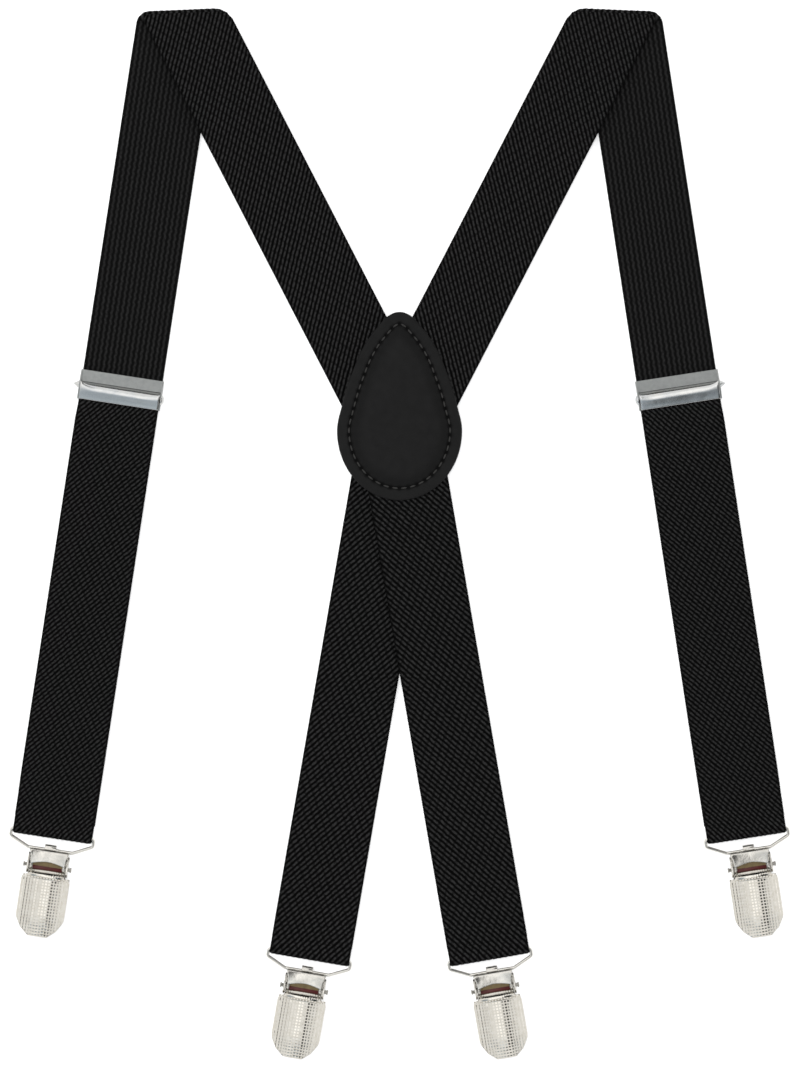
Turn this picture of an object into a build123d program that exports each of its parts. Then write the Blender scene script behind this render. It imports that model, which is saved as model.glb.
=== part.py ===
"""Clip-on suspenders lying flat with the straps folded at the shoulders.

Frame: seen from above, +X to the right, +Y towards the shoulder folds, +Z towards the viewer.
The origin is the middle of the underside. All sizes are in millimetres.
Each strap has its own plane: x runs down the strap, y across it, z up, from its bottom end.
"""

import math
import os

from build123d import *

os.makedirs("parts", exist_ok=True)

# Webbing: nominal 35 mm elastic tape
WEB_W = 34.6
WEB_T = 1.3
LOOP_W = 34.2

# Where each left strap ends, and how far it leans from the Y axis
CENTRE_Y = -0.5
FRONT_END = (-150.2, -131.3 + CENTRE_Y)
FRONT_LEAN = 8.7
BACK_END = (-39.2, -183.8 + CENTRE_Y)
BACK_LEAN = 9.8
CROSSING = (0.0, 45.5 + CENTRE_Y)
SHOULDER_LEAN = 27.3
FOLD = (-94.8, 226.2 + CENTRE_Y)
FOLD_TILT = 4.0
FOLD_GAP = 0.3
FOLD_AXIS_Z = 2.35

# Heights of the webbing's middle, by layer
Z_UNDER = 1.45
Z_LEFT = 1.95
Z_RIGHT = 3.45
Z_SHOULDER = 2 * FOLD_AXIS_Z - Z_UNDER
Z_LOOP_TOP = 4.35
Z_SLIDE_TOP = 5.15

# Where the tapes bend in side view, measured along each one
SHOULDER_BENDS_S = (-20.0, 58.0, 90.0, 240.0)
BACK_BENDS_S = (-260.0, -100.0, -40.0)
FRONT_BEYOND_S = -390.0
BUTT_GAP = 0.2

# Leather patch over the crossing
PATCH_LOW = 15.0 + CENTRE_Y
PATCH_TOP = 96.3 + CENTRE_Y
PATCH_WIDE_Y = 45.0 + CENTRE_Y
PATCH_HALF = 27.0
BACKING_T = 1.2
LEATHER_Z = 4.3
LEATHER_T = 1.5
STITCH_INSET = 5.2
STITCH_COUNT = 46
STITCH_LENGTH = 2.9
STITCH_WIDTH = 0.7
STITCH_T = 0.25

# Wire bail
WIRE_R = 0.7
BAIL_HALF = 18.0
BAIL_FOOT_HALF = 9.6
BAIL_TOP_S = -2.35
BAIL_TOP_Z = 2.9
BAIL_FOOT_S = 4.9
BAIL_FOOT_Z = 1.5
BAIL_SHOULDER_DROP = 3.4
BAIL_BEND_R = 1.3

# Clip: distances along it from the strap's end
SHEET = 0.7
BASE_TOP_S = 6.6
KNUCKLE_TOP_S = 2.6
KNUCKLE_END_S = 4.4
KNUCKLE_W = 4.8
KNUCKLE_R = 1.5
KNUCKLE_BORE = 0.8
KNUCKLE_LIP_Z = 2.65
EAR_IN = 8.2
EAR_START_S = 6.9
EAR_END_S = 15.6
EAR_TOP_Z = 6.8
EAR_FOOT_Z = 3.2
EAR_TIP_HALF = 0.9
PIVOT_S = 12.1
PIVOT_Z = 5.4
PIVOT_R = 0.75
PIVOT_IN = 6.4
PIVOT_OUT = 10.45
PIVOT_HEAD_R = 1.0
PIVOT_HEAD_T = 0.6
LEVER_TOP_S = 5.2
LEVER_LOW_S = 11.4
LEVER_ARCH_S = 10.0
LEVER_TOP_HALF = 8.9
LEVER_WAIST_HALF = 7.45
LEVER_WAIST_S = 8.6
LEVER_HORN = 1.2
LEVER_Z = 6.3
CAM_R = 1.6
CAM_OFFSET = 0.65
CAM_ANGLE = 255.0
HINGE_S = 8.2
HINGE_Z = 2.2
LUG_R = 0.6
HOLE_PLAY = 0.05
NECK_HALF = 7.7
NECK_S = 14.2
JAW_TOP_S = 16.3
JAW_TIP_S = 42.5
JAW_HALF = 10.5
JAW_TIP_HALF = 4.0
JAW_TAPER_S = 33.4
JAW_RIM_Z = 3.4
JAW_EDGE_Z = 4.4
JAW_CROWN_Z = 6.9
JAW_ARM_Z = 1.6
JAW_NECK_Z = 4.4
JAW_STEP_Z = 6.3
JAW_FALL_Z = 6.2
JAW_FALL_S = 10.0
JAW_LIP_Z = 5.0
PAD_GAP = 0.15
TOOTH_PITCH = 2.4
TOOTH_RISE = 0.45
TOOTH_ROWS = 8
TEETH_START = 3.5
TEETH_HALF = 6.2
REAR_PAD_T = 1.3
REAR_TEETH_Z = 2.3
FRONT_PAD_Z = 3.2
FRONT_PAD_T = 0.35
FRONT_TEETH_Z = 3.1
TONGUE_HALF = 6.3
TONGUE_S = 10.2
TONGUE_Z = 2.6
TONGUE_T = 0.9

# Slide adjuster: distances down the strap from its end, so these are negative
SLIDE_TOP_S = -202.6
SLIDE_LOW_S = -189.8
FLAP_LOW_S = -190.6
SLIDE_IN = 17.4
SLIDE_WALL = 0.6
SLIDE_PIVOT_S = -195.8
SLIDE_PIVOT_Z = 4.6
SLIDE_PIVOT_R = 0.55
SLIDE_LUG_OUT = 0.9
SLIDE_SHEET = 0.6
FACE_BAR_W = 5.0
FACE_BAR_Z = 3.15
SEWING_BAR_S = -190.9
SEWING_BAR_Z = 4.0
SEWING_BAR_W = 2.0
SEWING_BAR_T = 0.8
SEWING_BAR_ROUND = 0.35
SLIDE_CLEAR = 0.15
SLIDE_EAR = 1.3
SLIDE_EAR_RISE = 1.1
SLIDE_WALL_LIP = 0.6
RETURN_RAMP = 20.0
SEWN_TAIL = 16.0
FLAP_WAIST = 1.2
FLAP_NOSE_Z = 6.6
FLAP_CREST_Z = 7.0
FLAP_EDGE_Z = 6.5
FLAP_UNDER_Z = 5.95
BITE_Z = 2.35
BITE_HALF = 0.3

# Lengths of the pieces that the front tape is split into
REAR_END_S = -60.0
LOOP_REACH_S = -8.0
SPLIT_GAP = 0.3
TAIL_LENGTH = 28.0
TACK_T = 0.2
TACK_LENGTH = 6.0
TACK_W = 26.0


def strap_plane(end, lean, side):
    """Plane at a strap's bottom end, x down the strap; side is -1 for left, 1 for right."""
    turn = math.radians(lean)
    down = Vector(side * math.sin(turn), -math.cos(turn), 0)
    return Plane(origin=(-side * end[0], end[1], 0), x_dir=down, z_dir=(0, 0, 1))


def edge_on(place, across=0.0):
    """Plane to draw a piece's side view in: x down the strap, y up."""
    return Plane(origin=place.from_local_coords(Vector(0, across, 0)), x_dir=place.x_dir,
                 z_dir=-place.y_dir)


def save(piece, name):
    piece.part.label = name
    export_step(piece.part, f"parts/{name}.step")


def ribbon(place, points, width, cut=None):
    """A straight-edged tape that follows points (distance, height) seen edge-on."""
    with BuildPart() as tape:
        with BuildSketch(edge_on(place)):
            with BuildLine():
                Polyline(*points)
            trace(line_width=WEB_T)
        extrude(amount=width / 2, both=True)
        if cut is not None:
            split(bisect_by=cut, keep=Keep.TOP)
    return tape


def looped_ribbon(place, top_points, tail_s):
    """A tape that comes down, turns round the bail's top bar and ends in a tail beneath."""
    turn_r = (Z_LOOP_TOP - Z_UNDER) / 2
    with BuildPart() as tape:
        with BuildSketch(edge_on(place)):
            with BuildLine():
                Polyline(*top_points, (BAIL_TOP_S, Z_LOOP_TOP))
            trace(line_width=WEB_T)
            with Locations((BAIL_TOP_S, BAIL_TOP_Z)):
                Circle(turn_r + WEB_T / 2)
                Circle(turn_r - WEB_T / 2, mode=Mode.SUBTRACT)
            with Locations((BAIL_TOP_S - turn_r, BAIL_TOP_Z)):
                Rectangle(2 * turn_r, 2 * turn_r - WEB_T, mode=Mode.SUBTRACT)
            with BuildLine():
                Polyline((BAIL_TOP_S, Z_UNDER), (tail_s, Z_UNDER))
            trace(line_width=WEB_T)
        extrude(amount=LOOP_W / 2, both=True)
    return tape


def patch_outline():
    """Teardrop: a half ellipse below the widest line, drawn in to a point above it."""
    with BuildSketch() as outline:
        with BuildLine() as edge:
            EllipticalCenterArc(
                (0, PATCH_WIDE_Y), PATCH_HALF, PATCH_WIDE_Y - PATCH_LOW, start_angle=-90, arc_size=90
            )
            Spline(
                (PATCH_HALF, PATCH_WIDE_Y),
                (24.7, PATCH_WIDE_Y + 11.4),
                (20.8, PATCH_WIDE_Y + 24.1),
                (14.9, PATCH_WIDE_Y + 37.4),
                (0, PATCH_TOP),
                tangents=[(0, 1), (-1, 0)],
            )
            mirror(edge.line, about=Plane.YZ)
        make_face()
    return outline.sketch


def make_patch():
    outline = patch_outline()
    with BuildPart() as backing:
        add(outline)
        extrude(amount=BACKING_T)
    save(backing, "patch_backing")

    with BuildPart() as leather:
        with BuildSketch(Plane.XY.offset(LEATHER_Z)):
            add(outline)
        extrude(amount=LEATHER_T)
        fillet(leather.faces().sort_by(Axis.Z)[-1].edges(), radius=0.6)
    save(leather, "patch_leather")

    inset = offset(outline, amount=-STITCH_INSET, mode=Mode.PRIVATE).faces()[0].outer_wire()
    with BuildPart() as stitching:
        for number in range(STITCH_COUNT):
            at = inset.position_at(number / STITCH_COUNT)
            along = inset.tangent_at(number / STITCH_COUNT)
            seat = Plane(origin=(at.X, at.Y, LEATHER_Z + LEATHER_T), x_dir=along, z_dir=(0, 0, 1))
            with BuildSketch(seat):
                SlotOverall(STITCH_LENGTH, STITCH_WIDTH)
            extrude(amount=STITCH_T)
    save(stitching, "patch_stitching")


def make_shoulder_strap(side, name):
    """Top layer: from inside the patch up to the fold at the shoulder."""
    turn = math.radians(SHOULDER_LEAN)
    place = Plane(
        origin=(CROSSING[0], CROSSING[1], 0),
        x_dir=(side * math.sin(turn), math.cos(turn), 0),
        z_dir=(0, 0, 1),
    )
    z_patch = Z_LEFT if side < 0 else Z_RIGHT
    heights = (z_patch, z_patch, Z_SHOULDER, Z_SHOULDER)
    with BuildPart() as tape:
        with BuildSketch(edge_on(place)):
            with BuildLine():
                Polyline(*zip(SHOULDER_BENDS_S, heights))
            trace(line_width=WEB_T)
        extrude(amount=WEB_W / 2, both=True)
        split(bisect_by=Plane(origin=(0, CROSSING[1] + BUTT_GAP, 0), z_dir=(0, 1, 0)), keep=Keep.TOP)
        split(bisect_by=fold_plane(side, FOLD_GAP), keep=Keep.BOTTOM)
    save(tape, name)


def fold_plane(side, gap):
    """Upright plane just short of the shoulder fold; its far side is past the fold."""
    tilt = math.radians(FOLD_TILT)
    past = Vector(side * math.sin(tilt), math.cos(tilt), 0)
    at = Vector(-side * FOLD[0], FOLD[1], 0) - past * gap
    return Plane(origin=at, x_dir=(math.cos(tilt), -side * math.sin(tilt), 0), z_dir=past)


def make_back_strap(side, name):
    """From inside the patch down to the back clip, round the bail and up behind."""
    place = strap_plane(BACK_END, BACK_LEAN, side)
    z_patch = Z_LEFT if side < 0 else Z_RIGHT
    top = zip(BACK_BENDS_S, (z_patch, z_patch, Z_LOOP_TOP))
    tape = looped_ribbon(place, top, -TAIL_LENGTH)
    with BuildPart() as strap:
        add(tape.part)
        split(bisect_by=Plane(origin=(0, CROSSING[1] - BUTT_GAP, 0), z_dir=(0, -1, 0)), keep=Keep.TOP)
    save(strap, name)


def make_tack(side, name):
    """Close zigzag stitches that hold the back strap's turned-up tail."""
    place = strap_plane(BACK_END, BACK_LEAN, side)
    with BuildPart() as tack:
        with BuildSketch(place.offset(Z_UNDER - WEB_T / 2 - TACK_T)):
            with Locations((-TAIL_LENGTH + TACK_LENGTH, 0)):
                SlotOverall(TACK_W, TACK_LENGTH, rotation=90)
        extrude(amount=TACK_T)
    save(tack, name)


def make_front_tapes(side, end):
    """One tape in life: fold, slide, round the bail and back up to the slide's bar."""
    place = strap_plane(FRONT_END, FRONT_LEAN, side)
    upper = ribbon(place, [(FRONT_BEYOND_S, Z_UNDER), (REAR_END_S, Z_UNDER)], WEB_W)
    with BuildPart() as strap:
        add(upper.part)
        split(bisect_by=fold_plane(side, FOLD_GAP), keep=Keep.BOTTOM)
    save(strap, f"front_strap_{end}")

    run = [(REAR_END_S + SPLIT_GAP, Z_UNDER), (LOOP_REACH_S - SPLIT_GAP, Z_UNDER)]
    save(ribbon(place, run, LOOP_W), f"front_rear_run_{end}")

    loop = looped_ribbon(place, [(LOOP_REACH_S, Z_LOOP_TOP)], LOOP_REACH_S)
    save(loop, f"front_loop_{end}")

    far = SEWING_BAR_S - SEWING_BAR_W / 2 - SLIDE_CLEAR - WEB_T / 2
    tail_z = 2 * SEWING_BAR_Z - Z_SLIDE_TOP
    returned = [
        (LOOP_REACH_S - SPLIT_GAP, Z_LOOP_TOP),
        (SEWING_BAR_S + RETURN_RAMP, Z_SLIDE_TOP),
        (far, Z_SLIDE_TOP),
        (far, tail_z),
        (SEWING_BAR_S + SEWN_TAIL, tail_z),
    ]
    save(ribbon(place, returned, LOOP_W), f"front_return_{end}")


def make_slide(side, end):
    """Slide adjuster: a sheet frame with a face bar and a sewing bar, and a toothed flap."""
    place = strap_plane(FRONT_END, FRONT_LEAN, side)
    outer = SLIDE_IN + SLIDE_WALL
    with BuildPart() as frame:
        with BuildSketch(edge_on(place)):
            with Locations(((SLIDE_TOP_S + SLIDE_LOW_S) / 2, SLIDE_SHEET / 2)):
                Rectangle(SLIDE_LOW_S - SLIDE_TOP_S, SLIDE_SHEET)
            with Locations((SLIDE_TOP_S + FACE_BAR_W / 2, FACE_BAR_Z + SLIDE_SHEET / 2)):
                Rectangle(FACE_BAR_W, SLIDE_SHEET)
            with Locations((SEWING_BAR_S, SEWING_BAR_Z)):
                RectangleRounded(SEWING_BAR_W, SEWING_BAR_T, SEWING_BAR_ROUND)
        extrude(amount=SLIDE_IN + SLIDE_WALL / 2, both=True)
        for across in (-outer, SLIDE_IN):
            with BuildSketch(edge_on(place, across + SLIDE_WALL)):
                with BuildLine():
                    Polyline(
                        (SLIDE_TOP_S, 0),
                        (SLIDE_LOW_S, 0),
                        (SLIDE_LOW_S, SEWING_BAR_Z + SLIDE_WALL_LIP),
                        (SLIDE_PIVOT_S + SLIDE_EAR, SLIDE_PIVOT_Z + SLIDE_EAR_RISE),
                        (SLIDE_PIVOT_S - SLIDE_EAR, SLIDE_PIVOT_Z + SLIDE_EAR_RISE),
                        (SLIDE_TOP_S, FACE_BAR_Z + SLIDE_SHEET),
                        close=True,
                    )
                make_face()
                with Locations((SLIDE_PIVOT_S, SLIDE_PIVOT_Z)):
                    Circle(SLIDE_PIVOT_R + HOLE_PLAY, mode=Mode.SUBTRACT)
            extrude(amount=SLIDE_WALL)
    save(frame, f"slide_frame_{end}")

    with BuildPart() as flap:
        with BuildSketch(edge_on(place)):
            with BuildLine():
                Polyline(
                    (SLIDE_PIVOT_S - FLAP_WAIST, SLIDE_PIVOT_Z),
                    (SLIDE_PIVOT_S - 0.7, FLAP_NOSE_Z),
                    (SLIDE_PIVOT_S + 0.2, FLAP_CREST_Z),
                    (FLAP_LOW_S, FLAP_EDGE_Z),
                    (FLAP_LOW_S, FLAP_UNDER_Z),
                    (SLIDE_PIVOT_S + FLAP_WAIST + 0.6, FLAP_UNDER_Z),
                    (SLIDE_PIVOT_S + FLAP_WAIST, SLIDE_PIVOT_Z),
                    (SLIDE_PIVOT_S + BITE_HALF, BITE_Z),
                    (SLIDE_PIVOT_S - BITE_HALF, BITE_Z),
                    close=True,
                )
            make_face()
        extrude(amount=SLIDE_IN - SLIDE_CLEAR, both=True)
        with BuildSketch(edge_on(place)):
            with Locations((SLIDE_PIVOT_S, SLIDE_PIVOT_Z)):
                Circle(SLIDE_PIVOT_R)
        extrude(amount=outer + SLIDE_LUG_OUT, both=True)
    save(flap, f"slide_lever_{end}")


def make_bail(place, end):
    """Closed wire ring: straight top bar, two short cheeks, arms that draw in to the foot."""
    rise = BAIL_TOP_Z - BAIL_FOOT_Z
    run = BAIL_FOOT_S - BAIL_TOP_S
    length = math.hypot(run, rise)
    down = place.x_dir * (run / length) - place.z_dir * (rise / length)
    top = place.from_local_coords(Vector(BAIL_TOP_S, 0, BAIL_TOP_Z))
    ring_plane = Plane(origin=top, x_dir=down, z_dir=down.cross(place.y_dir))
    corners = [
        (0, -BAIL_HALF),
        (BAIL_SHOULDER_DROP, -BAIL_HALF),
        (length, -BAIL_FOOT_HALF),
        (length, BAIL_FOOT_HALF),
        (BAIL_SHOULDER_DROP, BAIL_HALF),
        (0, BAIL_HALF),
    ]
    with BuildPart() as bail:
        with BuildLine(ring_plane) as ring:
            FilletPolyline(*corners, radius=BAIL_BEND_R, close=True)
        start = ring.wire().position_at(0)
        heading = ring.wire().tangent_at(0)
        with BuildSketch(Plane(origin=start, z_dir=heading)):
            Circle(WIRE_R)
        sweep(path=ring.wire())
    save(bail, f"bail_{end}")


def jaw_outline(grow=0.0):
    """Plan of a jaw below its neck: straight sides, drawn in to a flat tip."""
    half = JAW_HALF + grow
    tip_s = JAW_TIP_S + grow
    with BuildSketch() as outline:
        with BuildLine() as edge:
            Polyline((JAW_TOP_S - grow, 0), (JAW_TOP_S - grow, half), (JAW_TAPER_S, half))
            ThreePointArc(
                (JAW_TAPER_S, half),
                (JAW_TAPER_S + 3.9, half - 1.5),
                (tip_s - 1.5, JAW_TIP_HALF + 1.5 + grow),
            )
            Polyline((tip_s - 1.5, JAW_TIP_HALF + 1.5 + grow), (tip_s, JAW_TIP_HALF), (tip_s, 0))
            mirror(edge.line, about=Plane.XZ)
        make_face()
    return outline.sketch


def make_base(place, end):
    """Back of the clip: rolled knuckle, ears with the pivot holes, flat rear jaw."""
    ear_mid_z = EAR_TOP_Z / 2
    with BuildPart() as base:
        with BuildSketch(place):
            add(jaw_outline(-0.3))
            with Locations(((BASE_TOP_S + JAW_TOP_S + 1) / 2, 0)):
                Rectangle(JAW_TOP_S + 1 - BASE_TOP_S, 2 * EAR_IN)
        extrude(amount=SHEET)
        with BuildSketch(edge_on(place)):
            with Locations(((KNUCKLE_TOP_S + SHEET / 2 + BASE_TOP_S) / 2 + 0.4, SHEET / 2)):
                Rectangle(BASE_TOP_S - KNUCKLE_TOP_S + 0.2, SHEET)
            with Locations((KNUCKLE_TOP_S + KNUCKLE_R, BAIL_FOOT_Z)):
                Circle(KNUCKLE_R)
                Circle(KNUCKLE_BORE, mode=Mode.SUBTRACT)
            with Locations((KNUCKLE_TOP_S + KNUCKLE_R + KNUCKLE_BORE, BAIL_FOOT_Z)):
                Rectangle(2 * KNUCKLE_BORE, 2 * KNUCKLE_BORE, mode=Mode.SUBTRACT)
            lip_s = (KNUCKLE_TOP_S + KNUCKLE_R + KNUCKLE_END_S) / 2 + 0.2
            with Locations((lip_s, KNUCKLE_LIP_Z)):
                Rectangle(KNUCKLE_END_S - KNUCKLE_TOP_S - 1.1, SHEET)
        extrude(amount=KNUCKLE_W / 2, both=True)
        for across in (-EAR_IN, EAR_IN + SHEET):
            with BuildSketch(edge_on(place, across)):
                with BuildLine():
                    Polyline(
                        (EAR_START_S, 0),
                        (EAR_END_S, 0),
                        (EAR_END_S, EAR_FOOT_Z),
                        (PIVOT_S + 2.1, PIVOT_Z + 0.4),
                        (PIVOT_S + EAR_TIP_HALF, EAR_TOP_Z),
                        (PIVOT_S - EAR_TIP_HALF, EAR_TOP_Z),
                        (EAR_START_S + 0.6, ear_mid_z),
                        (EAR_START_S, ear_mid_z - 0.8),
                        close=True,
                    )
                make_face()
                with Locations((PIVOT_S, PIVOT_Z)):
                    Circle(PIVOT_R, mode=Mode.SUBTRACT)
                with Locations((HINGE_S, HINGE_Z)):
                    Circle(LUG_R + HOLE_PLAY, mode=Mode.SUBTRACT)
            extrude(amount=SHEET)
    save(base, f"clip_base_{end}")

    with BuildPart() as rivets:
        for way in (-1, 1):
            with BuildSketch(edge_on(place, way * PIVOT_IN)):
                with Locations((PIVOT_S, PIVOT_Z)):
                    Circle(PIVOT_R)
            extrude(amount=-way * (PIVOT_OUT - PIVOT_IN))
            with BuildSketch(edge_on(place, way * PIVOT_OUT)):
                with Locations((PIVOT_S, PIVOT_Z)):
                    Circle(PIVOT_HEAD_R)
            extrude(amount=way * PIVOT_HEAD_T)
    save(rivets, f"clip_rivets_{end}")


def make_clip_lever(place, end):
    """Waisted plate with an arched lower edge; its cheeks turn on the rivets as cams."""
    cam_s = PIVOT_S + CAM_OFFSET * math.cos(math.radians(CAM_ANGLE))
    cam_z = PIVOT_Z + CAM_OFFSET * math.sin(math.radians(CAM_ANGLE))
    with BuildPart() as lever:
        with BuildSketch(place.offset(LEVER_Z)):
            with BuildLine() as edge:
                Polyline((LEVER_TOP_S, 0), (LEVER_TOP_S, LEVER_TOP_HALF - 0.4))
                ThreePointArc(
                    (LEVER_TOP_S, LEVER_TOP_HALF - 0.4),
                    (LEVER_TOP_S + 0.3, LEVER_TOP_HALF - 0.1),
                    (LEVER_TOP_S + 0.7, LEVER_TOP_HALF),
                )
                Spline(
                    (LEVER_TOP_S + 0.7, LEVER_TOP_HALF),
                    (LEVER_WAIST_S, LEVER_WAIST_HALF),
                    (LEVER_LOW_S, LEVER_WAIST_HALF),
                    tangents=[(1, -0.1), (1, 0)],
                )
                horn = LEVER_WAIST_HALF - LEVER_HORN
                Line((LEVER_LOW_S, LEVER_WAIST_HALF), (LEVER_LOW_S, horn))
                Spline(
                    (LEVER_LOW_S, horn),
                    (LEVER_ARCH_S, 0),
                    tangents=[(-0.6, -1), (0, -1)],
                )
                mirror(edge.line, about=Plane.XZ)
            make_face()
        extrude(amount=SHEET)
        for across in (-LEVER_WAIST_HALF + SHEET, LEVER_WAIST_HALF):
            with BuildSketch(edge_on(place, across)):
                with BuildLine():
                    Polyline(
                        (LEVER_WAIST_S + 0.2, LEVER_Z + 0.2),
                        (cam_s - CAM_R, cam_z),
                        (cam_s + CAM_R, cam_z),
                        (LEVER_LOW_S + 0.6, LEVER_Z + 0.1),
                        (LEVER_LOW_S, LEVER_Z + 0.2),
                        close=True,
                    )
                make_face()
                with Locations((cam_s, cam_z)):
                    Circle(CAM_R)
                with Locations((PIVOT_S, PIVOT_Z)):
                    Circle(PIVOT_R + HOLE_PLAY, mode=Mode.SUBTRACT)
            extrude(amount=SHEET)
    save(lever, f"clip_lever_{end}")


def jaw_block(place, thinner):
    """The front jaw's outer form, or its hollow when thinner is the sheet's thickness."""
    bow = JAW_CROWN_Z - JAW_EDGE_Z
    radius = (JAW_HALF**2 + bow**2) / (2 * bow) - thinner
    neck_z = JAW_NECK_Z - thinner
    with BuildPart() as block:
        with BuildSketch(place.offset(JAW_ARM_Z - thinner)):
            add(jaw_outline(-thinner))
            neck_start = NECK_S - 2 * thinner
            with Locations(((neck_start + JAW_TOP_S + 2) / 2, 0)):
                Rectangle(JAW_TOP_S + 2 - neck_start, 2 * (NECK_HALF - thinner))
        extrude(amount=9)
        with BuildSketch(edge_on(place)):
            with BuildLine():
                Polyline(
                    (NECK_S - 3, JAW_RIM_Z - 3),
                    (JAW_TOP_S - 0.2, JAW_RIM_Z - 3),
                    (JAW_TOP_S - 0.2, JAW_RIM_Z),
                    (JAW_TIP_S + 2, JAW_RIM_Z),
                    (JAW_TIP_S + 2, JAW_LIP_Z - thinner),
                    (JAW_TIP_S - 3, JAW_FALL_Z - thinner),
                    (JAW_TIP_S - JAW_FALL_S, JAW_CROWN_Z - thinner),
                    (JAW_TOP_S + 0.8, JAW_CROWN_Z - thinner),
                    (JAW_TOP_S - 0.7, JAW_STEP_Z - thinner),
                    (NECK_S, neck_z),
                    (NECK_S - 3, neck_z),
                    close=True,
                )
            make_face()
        extrude(amount=JAW_HALF + 2, both=True, mode=Mode.INTERSECT)
        bow_plane = Plane(origin=place.origin, x_dir=place.y_dir, z_dir=place.x_dir)
        with BuildSketch(bow_plane):
            with Locations((0, JAW_CROWN_Z - thinner - radius)):
                Circle(radius)
        extrude(amount=JAW_TIP_S + 5, mode=Mode.INTERSECT)
    return block.part


def make_jaw(place, end):
    """Front jaw: a bowed shell with a neck and two arms that end in hinge lugs."""
    hollow = jaw_block(place, SHEET)
    with BuildPart() as jaw:
        add(jaw_block(place, 0.0))
        add(hollow, mode=Mode.SUBTRACT)
        for across in (-NECK_HALF + SHEET, NECK_HALF):
            with BuildSketch(edge_on(place, across)):
                with BuildLine():
                    Polyline(
                        (HINGE_S, HINGE_Z - LUG_R),
                        (NECK_S + 1.0, HINGE_Z - LUG_R),
                        (NECK_S + 1.0, 4.0),
                        (NECK_S + 0.2, 4.0),
                        (NECK_S - 0.6, 3.0),
                        (HINGE_S, 3.0),
                        close=True,
                    )
                make_face()
                with Locations((HINGE_S, HINGE_Z + 0.1)):
                    Circle(0.7)
            extrude(amount=SHEET)
        for across in (-NECK_HALF + 0.1, EAR_IN + SHEET):
            with BuildSketch(edge_on(place, across)):
                with Locations((HINGE_S, HINGE_Z)):
                    Circle(LUG_R)
            extrude(amount=EAR_IN + SHEET - NECK_HALF + 0.1)
    save(jaw, f"clip_jaw_{end}")


def tooth_profile(first, base_z, rise, flip):
    """Saw-edged side view of a pad, teeth up when flip is 1 and down when it is -1."""
    points = [(first, base_z)]
    for row in range(TOOTH_ROWS):
        start = first + row * TOOTH_PITCH
        points.append((start, rise))
        points.append((start + TOOTH_PITCH / 2, rise + flip * TOOTH_RISE))
    points.append((first + TOOTH_ROWS * TOOTH_PITCH, rise))
    points.append((first + TOOTH_ROWS * TOOTH_PITCH, base_z))
    return points


def make_pads(place, end):
    """Moulded inserts whose teeth mesh, half a pitch apart, when the clip is shut."""
    first = JAW_TOP_S + TEETH_START
    with BuildPart() as rear:
        with BuildSketch(place.offset(SHEET)):
            add(jaw_outline(-1.2))
        extrude(amount=REAR_PAD_T)
        with BuildSketch(edge_on(place)):
            with BuildLine():
                Polyline(*tooth_profile(first, SHEET + 1.0, REAR_TEETH_Z, 1), close=True)
            make_face()
        extrude(amount=TEETH_HALF, both=True)
    save(rear, f"rear_pad_{end}")

    with BuildPart() as front:
        with BuildSketch(place.offset(FRONT_PAD_Z)):
            add(jaw_outline(-SHEET - PAD_GAP))
        extrude(amount=FRONT_PAD_T)
        with BuildSketch(edge_on(place)):
            with BuildLine():
                meshed = first + TOOTH_PITCH / 2
                Polyline(*tooth_profile(meshed, 3.4, FRONT_TEETH_Z, -1), close=True)
            make_face()
        extrude(amount=TEETH_HALF, both=True)
        with BuildSketch(place.offset(TONGUE_Z)):
            with Locations(((TONGUE_S + JAW_TOP_S + 2) / 2, 0)):
                RectangleRounded(JAW_TOP_S + 2 - TONGUE_S, 2 * TONGUE_HALF, 0.8)
        extrude(amount=TONGUE_T)
    save(front, f"front_pad_{end}")


def make_clip(place, end):
    make_bail(place, end)
    make_base(place, end)
    make_clip_lever(place, end)
    make_jaw(place, end)
    make_pads(place, end)


make_patch()
for side, hand in ((-1, "left"), (1, "right")):
    make_shoulder_strap(side, f"shoulder_strap_{hand}")
    make_back_strap(side, f"back_strap_{hand}")
    make_tack(side, f"back_bartack_{hand}")
    make_front_tapes(side, hand)
    make_slide(side, hand)
    make_clip(strap_plane(FRONT_END, FRONT_LEAN, side), f"front_{hand}")
    make_clip(strap_plane(BACK_END, BACK_LEAN, side), f"back_{hand}")
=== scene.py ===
import math

import bpy
import numpy as np
from mathutils import Matrix, Vector


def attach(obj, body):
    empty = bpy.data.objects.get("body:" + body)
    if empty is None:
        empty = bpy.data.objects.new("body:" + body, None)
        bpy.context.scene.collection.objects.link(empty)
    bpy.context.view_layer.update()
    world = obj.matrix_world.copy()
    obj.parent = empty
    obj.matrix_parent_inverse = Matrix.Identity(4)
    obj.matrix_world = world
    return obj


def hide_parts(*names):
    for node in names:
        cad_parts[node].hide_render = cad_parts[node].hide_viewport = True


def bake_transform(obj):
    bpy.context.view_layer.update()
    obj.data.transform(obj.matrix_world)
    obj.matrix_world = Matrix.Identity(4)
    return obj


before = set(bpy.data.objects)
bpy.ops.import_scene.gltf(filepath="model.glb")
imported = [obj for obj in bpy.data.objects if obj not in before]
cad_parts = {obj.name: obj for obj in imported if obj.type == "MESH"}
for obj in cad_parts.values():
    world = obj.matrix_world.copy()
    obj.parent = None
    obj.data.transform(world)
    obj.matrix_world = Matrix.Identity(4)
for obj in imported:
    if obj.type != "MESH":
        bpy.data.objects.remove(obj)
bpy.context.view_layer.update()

bl_info = {
    "name": "Clip-on Suspenders",
    "version": (1, 0, 0),
    "blender": (4, 5, 0),
    "location": "3D View > Sidebar > Suspenders",
    "description": "Webbing, leather patch, slides and clips of a pair of X-back suspenders",
    "category": "Object",
}

MM = 0.001
SIDES = {"left": -1, "right": 1}

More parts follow.
